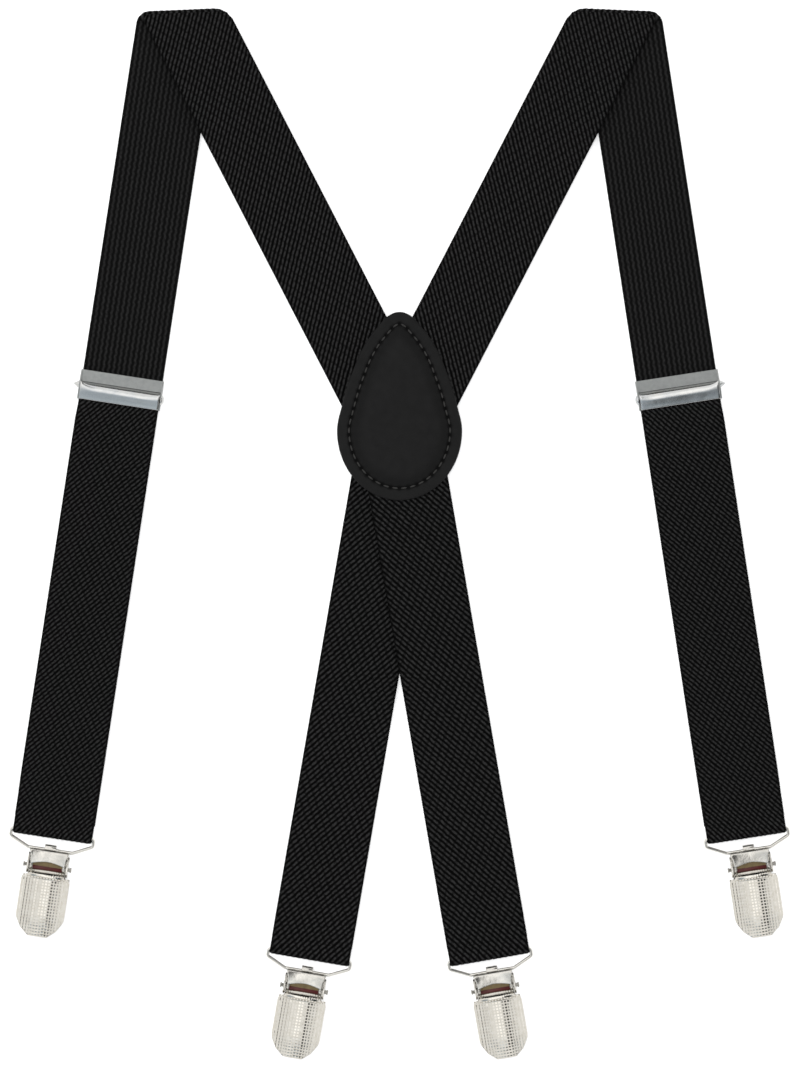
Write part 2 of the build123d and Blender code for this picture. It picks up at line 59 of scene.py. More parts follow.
# Strap lines, in millimetres, as the CAD part has them: bottom end and lean from the Y axis
FRONT_END, FRONT_LEAN = (-150.2, -131.8), 8.7
BACK_END, BACK_LEAN = (-39.2, -184.3), 9.8
CROSSING, SHOULDER_LEAN = (0.0, 45.0), 27.3
FOLD, FOLD_TILT, FOLD_AXIS_Z = (-94.8, 226.2), 2.4, 2.35
Z_UNDER, Z_LEFT, Z_RIGHT, Z_SHOULDER = 1.45, 1.95, 3.45, 3.25
Z_LOOP_TOP, Z_SLIDE_TOP = 4.35, 5.15
BAIL_S, BAIL_Z = -2.35, 2.9
SEAM_S = -8.0
SEWING_S, SEWING_Z, SEWING_TURN = -191.55, 4.0, 1.15
CLIPS = {
    "front_left": (FRONT_END, FRONT_LEAN, -1),
    "front_right": (FRONT_END, FRONT_LEAN, 1),
    "back_left": (BACK_END, BACK_LEAN, -1),
    "back_right": (BACK_END, BACK_LEAN, 1),
}


# ---------------------------------------------------------------- settings


def length(name, description, default):
    return bpy.props.FloatProperty(name=name, description=description, default=default,
                                   unit="LENGTH", precision=5)


def colour(name, description, default):
    return bpy.props.StringProperty(name=name, description=description, default=default)


class WebbingSettings(bpy.types.PropertyGroup):
    width: length("Width", "Width of the elastic tape away from its fittings", 0.0350)
    thickness: length("Thickness", "Thickness of the tape between its ribs", 0.0012)
    rib_pitch: length("Rib Pitch", "Distance from one twill rib to the next", 0.00168)
    rib_height: length("Rib Height", "How far a twill rib stands up", 0.00016)
    mesh_step: length("Mesh Step", "Spacing of the mesh that carries the ribs", 0.00044)
    rib_angle: bpy.props.FloatProperty(
        name="Rib Angle", description="Angle of the ribs from the strap's length",
        default=math.radians(41.5), subtype="ANGLE")
    # painted light on the weave: the rib colour is each rib's top with a painted highlight,
    # the gap colour is painted shade between the ribs
    rib_colour: colour("Rib Colour", "Dyed polyester on top of a rib, sRGB hex", "252525")
    gap_shade_colour: colour("Gap Colour", "Shaded yarn between the ribs, sRGB hex", "020202")


class PatchSettings(bpy.types.PropertyGroup):
    rise: length("Dome Rise", "How far the middle of the leather stands above its rim", 0.0013)
    inset: length("Stitch Inset", "Distance of the stitch line from the edge", 0.0052)
    leather_colour: colour("Leather Colour", "Dyed calf leather, sRGB hex", "161616")
    thread_colour: colour("Thread Colour", "Waxed thread, sRGB hex", "2b2b2a")


class MetalSettings(bpy.types.PropertyGroup):
    knurl_pitch: length("Knurl Pitch", "Distance between the raised points on a jaw", 0.00131)
    knurl_height: length("Knurl Height", "How far the points stand up", 0.00015)
    nickel_colour: colour("Nickel Colour", "Bright nickel plate, sRGB hex", "d6d3cc")
    satin_colour: colour("Satin Colour", "Dull nickel plate on the slide frame, sRGB hex",
                         "9fa19f")


class StageSettings(bpy.types.PropertyGroup):
    camera_height: length("Camera Height", "Height of the camera above the table", 2.564)
    lens: bpy.props.FloatProperty(name="Lens", description="Focal length in millimetres",
                                  default=200.0)
    floor_colour: colour("Floor Colour", "Plain pale table, sRGB hex", "f4f4f4")


class SuspendersSettings(bpy.types.PropertyGroup):
    webbing: bpy.props.PointerProperty(type=WebbingSettings, name="Webbing",
                                       description="Elastic tape")
    patch: bpy.props.PointerProperty(type=PatchSettings, name="Patch",
                                     description="Leather patch")
    metal: bpy.props.PointerProperty(type=MetalSettings, name="Metal",
                                     description="Slides and clips")
    stage: bpy.props.PointerProperty(type=StageSettings, name="Stage",
                                     description="Camera, light and table")


def settings():
    return bpy.context.scene.suspenders


# ---------------------------------------------------------------- finishes

SHADER, SKY = "Principled BSDF", "Background"


def linear(hex_colour):
    """sRGB hex to the linear RGBA that shader sockets take."""
    out = []
    for i in (0, 2, 4):
        c = int(hex_colour[i:i + 2], 16) / 255
        out.append(c / 12.92 if c <= 0.04045 else ((c + 0.055) / 1.055) ** 2.4)
    return (*out, 1.0)


def grey(value):
    return (value, value, value, 1.0)


def adder(tree):
    """The one function that adds nodes to tree."""

    def add(kind, inputs, **options):
        """Adds a node, or takes the tree's own shader or sky. inputs maps a socket to a value,
        to another node's output, or to a node, for the first of its outputs in use."""
        ready = kind in (SHADER, SKY)
        made = tree.nodes[kind] if ready else tree.nodes.new("ShaderNode" + kind)
        stops = options.pop("stops", ())
        while stops and len(made.color_ramp.elements) < len(stops):
            made.color_ramp.elements.new(0.5)
        for place, (at, tint) in enumerate(stops):
            made.color_ramp.elements[place].position = at
            made.color_ramp.elements[place].color = tint
        for key, value in options.items():
            setattr(made, key, value)
        for key, value in inputs.items():
            if isinstance(value, bpy.types.Node):
                value = next(socket for socket in value.outputs if socket.enabled)
            if isinstance(value, bpy.types.NodeSocket):
                tree.links.new(value, made.inputs[key])
            else:
                made.inputs[key].default_value = value
        return made

    return add


def finish_of(name):
    """A new material and the function that adds its nodes."""
    made = bpy.data.materials.new(name)
    made.use_nodes = True
    return made, adder(made.node_tree)


# Weave, in millimetres: a twill float's length, and the reverse's cords, how far apart they
# lie, how often they wave and how far they stand up
FLOAT_LENGTH = 1.5
CORD_PITCH, CORD_WAVE, CORD_HEIGHT = 2.2, 3.1, 0.11


def twill_webbing():
    """Woven elastic polyester: diagonal ribs whose floats break into short threads, with a
    closed dark selvedge. Its colour carries painted light: near-black painted shade in the
    gaps and a slight painted highlight along each rib."""
    web = settings().webbing
    made, add = finish_of("woven_elastic_twill")
    pitch = web.rib_pitch / MM
    uv = add("UVMap", {}, uv_map="weave")
    # yarn tension wanders a little from rib to rib
    wander = add("TexNoise", {"Vector": uv, "Scale": 0.5, "Detail": 3.0})
    bent = add("VectorMath", {0: wander.outputs["Color"], 1: (0.8, 0.8, 0.0)},
               operation="MULTIPLY")
    moved = add("VectorMath", {0: uv, 1: bent}, operation="ADD")
    turned = add("Mapping", {"Vector": moved, "Rotation": (0, 0, web.rib_angle - math.pi / 2),
                             "Scale": (1 / pitch, 1 / pitch, 1)})
    axes = add("SeparateXYZ", {0: turned})
    turns = add("Math", {0: axes.outputs["X"], 1: math.tau}, operation="MULTIPLY")
    wave = add("Math", {0: turns}, operation="COSINE")
    rib = add("MapRange", {0: wave, 1: -0.55, 2: 0.95}, interpolation_type="SMOOTHSTEP")
    # floats: each rib is a row of short threads, out of step with the next rib's
    number = add("Math", {0: axes.outputs["X"]}, operation="ROUND")
    shift = add("Math", {0: number, 1: 0.38}, operation="MULTIPLY")
    along = add("Math", {0: axes.outputs["Y"], 1: pitch / FLOAT_LENGTH}, operation="MULTIPLY")
    step = add("Math", {0: along, 1: shift}, operation="ADD")
    saw = add("Math", {0: step, 1: 1.0}, operation="PINGPONG")
    thread = add("MapRange", {0: saw, 1: 0.08, 2: 0.55}, interpolation_type="SMOOTHSTEP")
    # some ribs are rubbed brighter than others
    patchy = add("TexNoise", {"Vector": uv, "Scale": 1.3, "Detail": 3.0, "Roughness": 0.7})
    worn = add("MapRange", {0: patchy, 1: 0.32, 2: 0.68, 3: 0.35, 4: 1.3})
    lit = add("Math", {0: rib, 1: worn}, operation="MULTIPLY")
    broken = add("MapRange", {0: thread, 3: 0.45, 4: 1.05})
    height = add("Math", {0: lit, 1: broken}, operation="MULTIPLY")
    edge = add("Attribute", {}, attribute_name="selvedge").outputs["Fac"]
    selvedge = add("MapRange", {0: edge, 3: 1.0, 4: 0.3})
    shown = add("Math", {0: height, 1: selvedge}, operation="MULTIPLY")
    # painted shade in the gaps between the ribs and a painted highlight on their tops, set by
    # the ribs' height
    mixed = add("Mix", {"Factor": shown, "A": linear(web.gap_shade_colour),
                        "B": linear(web.rib_colour)}, data_type="RGBA")
    fibre = add("TexNoise", {"Vector": uv, "Scale": 6.0, "Detail": 2.0})
    fuzz = add("Bump", {"Height": fibre, "Distance": 0.00003, "Strength": 0.4})
    ribbed = add("Bump", {"Height": height, "Distance": 0.00012, "Strength": 0.6,
                          "Normal": fuzz})
    add(SHADER, {"Base Color": mixed, "Normal": ribbed, "Roughness": 0.72,
                 "Specular IOR Level": 0.03})
    return made


def reverse_webbing():
    """Back of the same tape: duller, with wavy lengthwise cords where the rubber yarns draw
    the weave together. Its colour is painted shade in the hollows between the cords, lighter
    on their tops."""
    made, add = finish_of("woven_elastic_reverse")
    uv = add("UVMap", {}, uv_map="weave")
    axes = add("SeparateXYZ", {0: uv})
    sway = add("Math", {0: axes.outputs["X"], 1: math.tau / CORD_WAVE}, operation="MULTIPLY")
    swing = add("Math", {0: sway}, operation="SINE")
    offset = add("Math", {0: swing, 1: 0.5}, operation="MULTIPLY")
    turn = add("Math", {0: axes.outputs["Y"], 1: math.tau / CORD_PITCH}, operation="MULTIPLY")
    phase = add("Math", {0: turn, 1: offset}, operation="ADD")
    wave = add("Math", {0: phase}, operation="COSINE")
    cord = add("MapRange", {0: wave, 1: -0.6, 2: 1.0})
    bead = add("TexNoise", {"Vector": uv, "Scale": 1.1, "Detail": 3.0})
    grain = add("MapRange", {0: bead, 1: 0.3, 2: 0.7, 3: 0.3, 4: 1.1})
    height = add("Math", {0: cord, 1: grain}, operation="MULTIPLY")
    # painted shade between the cords, lighter on their tops
    mixed = add("Mix", {"Factor": height, "A": linear("070707"), "B": linear("1f1f1f")},
                data_type="RGBA")
    corded = add("Bump", {"Height": height, "Distance": 0.00012, "Strength": 0.6})
    add(SHADER, {"Base Color": mixed, "Normal": corded, "Roughness": 0.8,
                 "Specular IOR Level": 0.03})
    return made


def calf_leather():
    """Dyed, smooth-finished calf leather: an even soft black with a fine matte grain, with
    painted shade in the stitch holes, in the sewn groove and in a band just inside the stitch
    line."""
    made, add = finish_of("dyed_calf_leather")
    at = add("TexCoord", {}).outputs["Object"]
    # grain cells about 0.9 mm across, under creases about four times as wide
    cells = add("TexVoronoi", {"Vector": at, "Scale": 1100.0}, feature="SMOOTH_F1")
    creases = add("TexNoise", {"Vector": at, "Scale": 260.0, "Detail": 5.0})
    seam_shade = add("Attribute", {}, attribute_name="painted_seam_shade").outputs["Fac"]
    base = add("Mix", {"Factor": creases, "A": linear("0e0e0e"),
                       "B": linear(settings().patch.leather_colour)}, data_type="RGBA")
    # painted shade from the stitch holes, the groove and the band inside the stitch line
    dark = add("Mix", {"Factor": seam_shade, "A": base, "B": linear("020202")}, data_type="RGBA")
    grained = add("Bump", {"Height": cells, "Distance": 0.00005, "Strength": 0.35})
    creased = add("Bump", {"Height": creases, "Distance": 0.00025, "Strength": 0.5,
                           "Normal": grained})
    add(SHADER, {"Base Color": dark, "Normal": creased, "Roughness": 0.6,
                 "Specular IOR Level": 0.09})
    return made


def plain_finish(name, colours, roughness, scale, depth, metallic=0.0, specular=0.5):
    """A finish whose colour and roughness wander between two values. scale is the mottling's,
    in turns per metre, and depth its height in metres."""
    made, add = finish_of(name)
    at = add("TexCoord", {}).outputs["Object"]
    mottle = add("TexNoise", {"Vector": at, "Scale": scale, "Detail": 4.0})
    mixed = add("Mix", {"Factor": mottle, "A": linear(colours[0]), "B": linear(colours[1])},
                data_type="RGBA")
    worn = add("MapRange", {0: mottle, 1: 0.3, 2: 0.7, 3: roughness[0], 4: roughness[1]})
    uneven = add("Bump", {"Height": mottle, "Distance": depth, "Strength": 0.5})
    add(SHADER, {"Base Color": mixed, "Roughness": worn, "Normal": uneven,
                 "Metallic": metallic, "Specular IOR Level": specular})
    return made


def make_finishes():
    """Every finish by name, with the record's material slots' names where one exists."""
    metal = settings().metal
    nickel = metal.nickel_colour
    return {
        "webbing": twill_webbing(),
        "reverse": reverse_webbing(),
        "leather": calf_leather(),
        # the flesh side of the backing: a soft nap
        "leather_back": plain_finish("leather_flesh_side", ("161514", "242220"), (0.85, 0.95),
                                     900, 0.0001, specular=0.1),
        # twisted thread with a little wax: a dull sheen along each stitch
        "thread": plain_finish("waxed_polyester_thread",
                               (settings().patch.thread_colour, "1d1c1a"), (0.5, 0.7),
                               2500, 0.00005, specular=0.3),
        # drawn wire, plated bright: long mirror streaks
        "bail_wire": plain_finish("bright_plated_wire", (nickel, "c9c6bf"), (0.12, 0.2),
                                  300, 0.00001, metallic=1.0),
        # pressed sheet: bright with faint waves from the die
        "nickel_plate": plain_finish("nickel_plated_sheet", (nickel, "bfbcb5"), (0.16, 0.3),
                                     230, 0.0003, metallic=1.0),
        # knurled sheet, tumbled before plating: clean sparkle on every point
        "knurled_nickel": plain_finish("tumbled_nickel_plate", (nickel, "c4bfb4"),
                                       (0.07, 0.13), 500, 0.00003, metallic=1.0),
        # steel headed over with a hammer: greyer and rougher than the plate round it
        "rivet_steel": plain_finish("peened_rivet_steel", ("aaa7a0", "8d8a84"), (0.25, 0.4),
                                    900, 0.00004, metallic=1.0),
        # satin plate of the slide's frame: an even soft grey
        "slide_satin": plain_finish("satin_nickel_plate", (metal.satin_colour, "939594"),
                                    (0.38, 0.5), 700, 0.00003, metallic=1.0),
        # polished plate of the slide's flap: clear reflections that waver slightly, mottled
        # with patches of cool blue-grey that are a painted reflection of a blue surround
        "slide_polished": plain_finish("polished_nickel_plate", (nickel, "b4b9be"),
                                       (0.14, 0.26), 150, 0.00009, metallic=1.0),
        # tinted soft vinyl of the liners: amber in the light, dark red where it is thick
        "pad_plastic": plain_finish("moulded_vinyl", ("6b5a36", "4a3f2a"), (0.35, 0.55),
                                    600, 0.00004),
        "liner_lip": plain_finish("tinted_vinyl_lip", ("4a0f0b", "300a08"), (0.3, 0.5),
                                  600, 0.00003),
    }


FINISH = {}


def finish(name):
    if not FINISH:
        FINISH.update(make_finishes())
    return FINISH[name]


# ---------------------------------------------------------------- frames and meshes


class Plan:
    """A strap's own plane: s runs down the strap from its end, v to the right, z up."""

    def __init__(self, end, lean, side):
        turn = math.radians(lean)
        self.origin = np.array([-side * end[0], end[1], 0.0])
        self.s = np.array([side * math.sin(turn), -math.cos(turn), 0.0])
        self.v = np.array([-self.s[1], self.s[0], 0.0])

    def at(self, s, v, z):
        """World points in millimetres for arrays of s, v and z."""
        s, v, z = np.broadcast_arrays(s, v, z)
        return (self.origin + s[..., None] * self.s + v[..., None] * self.v
                + z[..., None] * np.array([0, 0, 1.0]))

    def cut(self, v, point, normal, back):
        """The s at which the line at each v meets an upright plane moved back by back."""
        start = self.origin + v[:, None] * self.v - point
        return (-back - start @ normal) / (self.s @ normal)

    def matrix(self, flip):
        """Carries a mesh from (s, v, z) to its place, turned left to right if flip is -1."""
        m = Matrix.Identity(4)
        m.col[0] = (*self.s, 0)
        m.col[1] = (*(self.v * flip), 0)
        m.col[3] = (*(self.origin * MM), 1)
        return m


def front_plan(side):
    return Plan(FRONT_END, FRONT_LEAN, side)


def back_plan(side):
    return Plan(BACK_END, BACK_LEAN, side)


def shoulder_plan(side):
    return Plan(CROSSING, -SHOULDER_LEAN, side)


def point(xyz):
    """A point in millimetres as plain numbers in metres."""
    return tuple(float(c) * MM for c in xyz)


def ease(x, low, high):
    """0 up to low, 1 from high on, and a smooth rise between them."""
    t = np.clip((x - low) / (high - low), 0, 1)
    return t * t * (3 - 2 * t)


def distances(path):
    """How far along path each of its points lies."""
    steps = np.linalg.norm(np.diff(path, axis=0), axis=1)
    return np.concatenate([[0], np.cumsum(steps)])


def spaced(path, at):
    """The points of a plane path at the distances at."""
    along = distances(path)
    return np.stack([np.interp(at, along, path[:, k]) for k in (0, 1)], -1)


def mesh_object(name, verts, faces):
    """A smooth object at the origin from vertices in millimetres."""
    mesh = bpy.data.meshes.new(name)
    mesh.from_pydata((np.asarray(verts) * MM).tolist(), [], faces)
    mesh.polygons.foreach_set("use_smooth", [True] * len(mesh.polygons))
    mesh.validate()
    made = bpy.data.objects.new(name, mesh)
    bpy.context.collection.objects.link(made)
    return made


def paint(obj, *names):
    obj.data.materials.clear()
    for name in names:
        obj.data.materials.append(finish(name))
    return obj


def fit_out(piece, finish_name, slot, body, *stands_for):
    """Gives a piece its finish, and says what it rides on and stands for. slot is not used."""
    paint(piece, finish_name)
    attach(piece, body)
    if stands_for:
        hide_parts(*stands_for)


CUT_SIZES = {}


# ---------------------------------------------------------------- webbing

SELVEDGE = 0.25                  # the round edge beyond the outermost columns of the mesh
EDGE_THICKNESS = 0.62, 0.9       # share of the thickness left in the two outermost columns
UNDER_COLUMNS = 11               # columns on the side that carries no ribs
FOLD_BACK, FOLD_CORNER_R = 1.3, 4.6    # how far the flat tape stops short of the fold
FOLD_ROWS = 15
BUTT = 0.2                       # half the gap between the straps' ends at the crossing
SHOULDER_SINKS = 58, 90          # where the shoulder strap comes down off the crossing
BACK_RISES = -120, -45           # where the back strap comes up to its loop
LOOP_R, LOOP_STEP = 1.45, 0.4    # the turn round the bail
TAIL_TOP_S = -28.0               # top of the back strap's turned-up tail
FACE_NARROWER, TAIL_NARROWER = 0.3, 0.1    # half the width lost in the loops
SEWN_END_S, SLIDE_LOW_S = -174.9, -170.9   # the sewn end, and where the face leaves the slide
# places along the front tape, and along its face between the last of them and the slide
BLEND_START_S, BLEND_END_S, SLIDE_BLEND_S = -340.0, -9.0, -188.0
# how the weave is drawn out along and across each strap, as the elastic was sewn
FRONT_STRETCH, SHOULDER_STRETCH, BACK_STRETCH = (1.05, 1.05), (0.965, 0.965), (0.877, 0.941)
BOTH, TURNED = ("webbing", "reverse"), ("reverse", "webbing")


def rib_relief(u, v):
    """Height of the twill ribs in millimetres at a place on the tape."""
    web = settings().webbing
    q = (u * math.sin(web.rib_angle) + v * math.cos(web.rib_angle)) / (web.rib_pitch / MM)
    return web.rib_height / MM * (0.5 + 0.5 * np.cos(math.tau * q)) ** 0.8


def cord_relief(u, v):
    """Height of the wavy cords on the tape's reverse."""
    sway = 0.5 * np.sin(math.tau * u / CORD_WAVE)
    return CORD_HEIGHT * (0.5 + 0.5 * np.cos(math.tau * v / CORD_PITCH + sway))


def columns():
    """Places across the tape of the mesh columns that carry the ribs."""
    web = settings().webbing
    half = web.width / 2 / MM - SELVEDGE
    return np.linspace(-half, half, int(2 * half / (web.mesh_step / MM)) + 1)


def tape(name, mid, along, across, hand, relief, finishes, outward=1, stretch=(1, 1)):
    """Webbing from its middle surface. mid holds rows down the tape of points across it;
    the carved side lies where rows x columns points, or opposite it when outward is -1."""
    web = settings().webbing
    thick = web.thickness / MM
    rows, cols = mid.shape[:2]
    down, over = np.gradient(mid, axis=0), np.gradient(mid, axis=1)
    normal = np.cross(down, over)
    normal *= outward / np.linalg.norm(normal, axis=2, keepdims=True)
    lateral = over / np.linalg.norm(over, axis=2, keepdims=True)
    u, v = along * stretch[0], across * -hand * stretch[1]
    rounding = np.ones(cols)
    rounding[[0, -1]], rounding[[1, -2]] = EDGE_THICKNESS
    carved = mid + normal * ((thick / 2) * rounding + relief(u, v) * rounding ** 3)[..., None]
    under = np.unique(np.linspace(0, cols - 1, UNDER_COLUMNS).astype(int))
    back = mid[:, under] - normal[:, under] * (thick / 2 * rounding[under])[:, None]
    verts = [carved.reshape(-1, 3), back.reshape(-1, 3),
             mid[:, 0] - lateral[:, 0] * SELVEDGE, mid[:, -1] + lateral[:, -1] * SELVEDGE]
    weave = [np.stack([u, v], -1).reshape(-1, 2),
             np.stack([u[:, under], v[:, under]], -1).reshape(-1, 2),
             *(np.stack([u[:, k], v[:, k] * 1.015], -1) for k in (0, -1))]
    n_top, n_back = rows * cols, rows * len(under)
    top = np.arange(n_top).reshape(rows, cols)
    bottom = n_top + np.arange(n_back).reshape(rows, len(under))
    edge_l = n_top + n_back + np.arange(rows)
    edge_r = edge_l + rows

    def quads(a, b):
        """Quads between two columns of indices."""
        return np.stack([a[:-1], a[1:], b[1:], b[:-1]], -1).reshape(-1, 4)

    faces = [quads(top[:, j], top[:, j + 1]) for j in range(cols - 1)]
    faces += [quads(top[:, -1], edge_r), quads(edge_r, bottom[:, -1]),
              quads(bottom[:, 0], edge_l), quads(edge_l, top[:, 0])]
    n_carved = (rows - 1) * (cols + 3)
    faces += [quads(bottom[:, k + 1], bottom[:, k]) for k in range(len(under) - 1)]
    faces = np.concatenate(faces)[:, ::outward].tolist()
    for i, way in ((0, 1), (rows - 1, -1)):
        ring = [*top[i], edge_r[i], *bottom[i][::-1], edge_l[i]]
        faces.append([int(x) for x in ring[::way * outward]])
    made = mesh_object(name, np.concatenate(verts), faces)
    mesh = made.data
    layer = mesh.uv_layers.new(name="weave")
    corner = np.zeros(len(mesh.loops), np.int32)
    mesh.loops.foreach_get("vertex_index", corner)
    layer.data.foreach_set("uv", np.concatenate(weave)[corner].astype(np.float32).ravel())
    outermost = np.abs(across).max()
    edge = np.zeros(len(mesh.vertices), np.float32)
    edge[:n_top] = ease(np.abs(across), outermost - 0.7, outermost - 0.3).ravel()
    edge[n_top + n_back:] = 1
    mesh.attributes.new("selvedge", "FLOAT", "POINT").data.foreach_set("value", edge)
    paint(made, *finishes)
    slots = np.ones(len(mesh.polygons), np.int32)
    slots[:n_carved] = 0
    mesh.polygons.foreach_set("material_index", slots)
    runs = np.linalg.norm(np.diff(mid, axis=0), axis=2).sum(0)
    CUT_SIZES[name] = (web.width, runs.max() * MM, runs.mean() * MM * web.width)
    return made


def laid_tape(name, plan, starts, ends, height, hand, relief, finishes, stretch):
    """A tape laid on the table: every column runs from starts to ends, at height(s, v).
    Gives the middle surface's first row too."""
    cols = columns()
    step = settings().webbing.mesh_step / MM
    count = int(abs(ends.mean() - starts.mean()) / step) + 1
    s = starts + (ends - starts) * np.linspace(0, 1, count)[:, None]
    across = np.repeat(cols[None], count, 0)
    mid = plan.at(s, across, height(s, across))
    return tape(name, mid, s, across, hand, relief, finishes, stretch=stretch), mid[0]


def path_tape(name, plan, path, hand, u_end, half, stretch):
    """A tape, ribs outwards, that follows a path of (s, z) with turns in it. u_end is the
    weave's place at the path's last row, half the half width at each row."""
    lengths = distances(path)
    cols = columns()
    across = np.outer(half / (settings().webbing.width / 2 / MM), cols)
    s, z, along = (np.repeat(column[:, None], len(cols), 1) for column in (
        path[:, 0], path[:, 1], u_end - (lengths[-1] - lengths)))
    return tape(name, plan.at(s, across, z), along, np.repeat(cols[None], len(path), 0), hand,
                rib_relief, BOTH, stretch=stretch)


def smooth_path(points, step, rounds):
    """A line through points, resampled at step and rounded at its corners."""
    points = np.array(points, float)
    full = distances(points)[-1]
    path = spaced(points, np.linspace(0, full, max(int(full / step), 4) + 1))
    for _ in range(rounds):
        path[1:-1] = (path[:-2] + 2 * path[1:-1] + path[2:]) / 4
    return path


def arc(centre, radius, first, last, count):
    turn = np.radians(np.linspace(first, last, count))
    return [(centre[0] + radius * math.cos(a), centre[1] + radius * math.sin(a)) for a in turn]


def fold_line(side):
    """A point on the shoulder fold's line, and the way that faces up and out of it."""
    tilt = math.radians(FOLD_TILT)
    normal = np.array([side * math.sin(tilt), math.cos(tilt), 0.0])
    return np.array([-side * FOLD[0], FOLD[1], 0.0]), normal


def fold_cut(plan, cols, side):
    """Where each column of a strap ends at the shoulder fold, whose corners are rounded."""
    at, normal = fold_line(side)
    square = abs(plan.s @ normal)
    place = np.abs(cols / square)
    half = settings().webbing.width / 2 / MM / square
    inside = np.clip(FOLD_CORNER_R - (half - place), 0, FOLD_CORNER_R)
    back = FOLD_BACK + FOLD_CORNER_R - np.sqrt(FOLD_CORNER_R ** 2 - inside ** 2)
    return plan.cut(cols, at, normal, back)


def fold_of(name, side, shoulder_edge, front_edge, far):
    """The shoulder fold, from the shoulder strap's end round to the front strap's."""
    at, normal = fold_line(side)
    radius = Z_SHOULDER - FOLD_AXIS_Z
    turn = np.radians(np.linspace(0, 180, FOLD_ROWS))
    rows = []
    for a in turn:
        t = a / math.pi
        row = shoulder_edge * (1 - t) + front_edge * t + normal * radius * math.sin(a)
        row[:, 2] = FOLD_AXIS_Z + radius * math.cos(a)
        rows.append(row)
    cols = columns()
    along = far - np.repeat((turn * radius)[:, None], len(cols), 1)
    piece = tape(f"fold_webbing_{name}", np.array(rows), along,
                 np.repeat(cols[None], FOLD_ROWS, 0), side, rib_relief, BOTH, outward=-1,
                 stretch=SHOULDER_STRETCH)
    point((at[0], at[1], FOLD_AXIS_Z + 0.25))
    point((at[0], at[1], FOLD_AXIS_Z - 0.25))
    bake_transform(piece)
    return piece


def webbing_of(side, name):
    """All the tape on one side of the back, from the crossing to both clips."""
    cols = columns()
    seam = np.full(len(cols), SEAM_S)
    half = settings().webbing.width / 2 / MM
    z_patch = Z_LEFT if side < 0 else Z_RIGHT
    crossing = np.array([0, CROSSING[1], 0.0])
    up = np.array([0, 1.0, 0])

    # shoulder strap: from the crossing to the fold, springing up a little just before it
    plan = shoulder_plan(side)
    top = fold_cut(plan, cols, side)
    far = float(top.mean())

    def shoulder_height(s, v):
        z = z_patch + (Z_SHOULDER - z_patch) * ease(-s, *SHOULDER_SINKS)
        lift = 1.5 * ease(s, far, far + 34) * (1 - ease(s, far + 40, far + 105))
        return z + lift + 0.12 * np.sin(s / 17.0 + v / 9.0) * ease(s, far, far + 30)

    shoulder, shoulder_edge = laid_tape(
        f"shoulder_webbing_{name}", plan, top, plan.cut(cols, crossing, up, -BUTT),
        shoulder_height, side, rib_relief, BOTH, SHOULDER_STRETCH)
    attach(shoulder, "back")
    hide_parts(f"shoulder_strap_{name}")

    # front strap's rear layer: reverse side up, from the fold down to the bail
    plan = front_plan(side)
    rear, front_edge = laid_tape(
        f"front_rear_webbing_{name}", plan, fold_cut(plan, cols, side), seam,
        lambda s, v: Z_UNDER + 0 * s, side, cord_relief, TURNED, (1, 1))
    point(plan.at(BLEND_START_S, 0.0, Z_UNDER))
    point(plan.at(BLEND_END_S, 0.0, Z_UNDER))
    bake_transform(rear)
    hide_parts(f"front_strap_{name}", f"front_rear_run_{name}")

    fold = fold_of(name, side, shoulder_edge, front_edge, far)

    # the turn round the bail, which travels with the clip
    around = [(SEAM_S, Z_LOOP_TOP), *arc((BAIL_S, BAIL_Z), LOOP_R, 90, -90, 15),
              (SEAM_S, Z_UNDER)]
    path = smooth_path(around, LOOP_STEP, 2)
    loop = path_tape(f"front_loop_webbing_{name}", plan, path, side,
                     SEAM_S + distances(path)[-1],
                     np.full(len(path), half - FACE_NARROWER), FRONT_STRETCH)
    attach(loop, f"carriage_{name}")
    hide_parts(f"front_loop_{name}")

    # face side up again, from the bail back up to the bar it is sewn round
    under_bar = SEWING_Z - SEWING_TURN
    route = [(SEWN_END_S, under_bar), (SEWING_S, under_bar),
             *arc((SEWING_S, SEWING_Z), SEWING_TURN, 270, 90, 13)[1:-1],
             (SEWING_S, Z_SLIDE_TOP), (SLIDE_LOW_S, Z_SLIDE_TOP), (-120, 4.75), (-60, 4.5),
             (SEAM_S, Z_LOOP_TOP)]
    path = smooth_path(route, settings().webbing.mesh_step / MM, 3)
    s = path[:, 0]
    narrowed = np.clip(ease(s, -30, SEAM_S) + 1 - ease(s, -189, -180), 0, 1)
    face = path_tape(f"front_face_webbing_{name}", plan, path, side, SEAM_S,
                     half - FACE_NARROWER * narrowed, FRONT_STRETCH)
    point(plan.at(BLEND_END_S, 0.0, Z_LOOP_TOP))
    point(plan.at(SLIDE_BLEND_S, 0.0, Z_LOOP_TOP))
    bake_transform(face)
    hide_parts(f"front_return_{name}")

    # back strap: from the crossing down to the bail, round it and up behind
    plan = back_plan(side)
    strap, _ = laid_tape(
        f"back_webbing_{name}", plan, plan.cut(cols, crossing, up, BUTT), seam,
        lambda s, v: z_patch + (Z_LOOP_TOP - z_patch) * ease(s, *BACK_RISES), side, rib_relief,
        BOTH, BACK_STRETCH)
    path = smooth_path([*around[:-1], (TAIL_TOP_S, Z_UNDER)], LOOP_STEP, 2)
    loop = path_tape(f"back_loop_webbing_{name}", plan, path, side,
                     SEAM_S + distances(path)[-1],
                     np.full(len(path), half - TAIL_NARROWER), BACK_STRETCH)
    for piece in (strap, loop):
        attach(piece, "back")
        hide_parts(f"back_strap_{name}")
    stitches = tail_stitches(f"tail_stitches_{name}", plan)
    fit_out(stitches, "thread", "thread", "back", f"back_bartack_{name}")


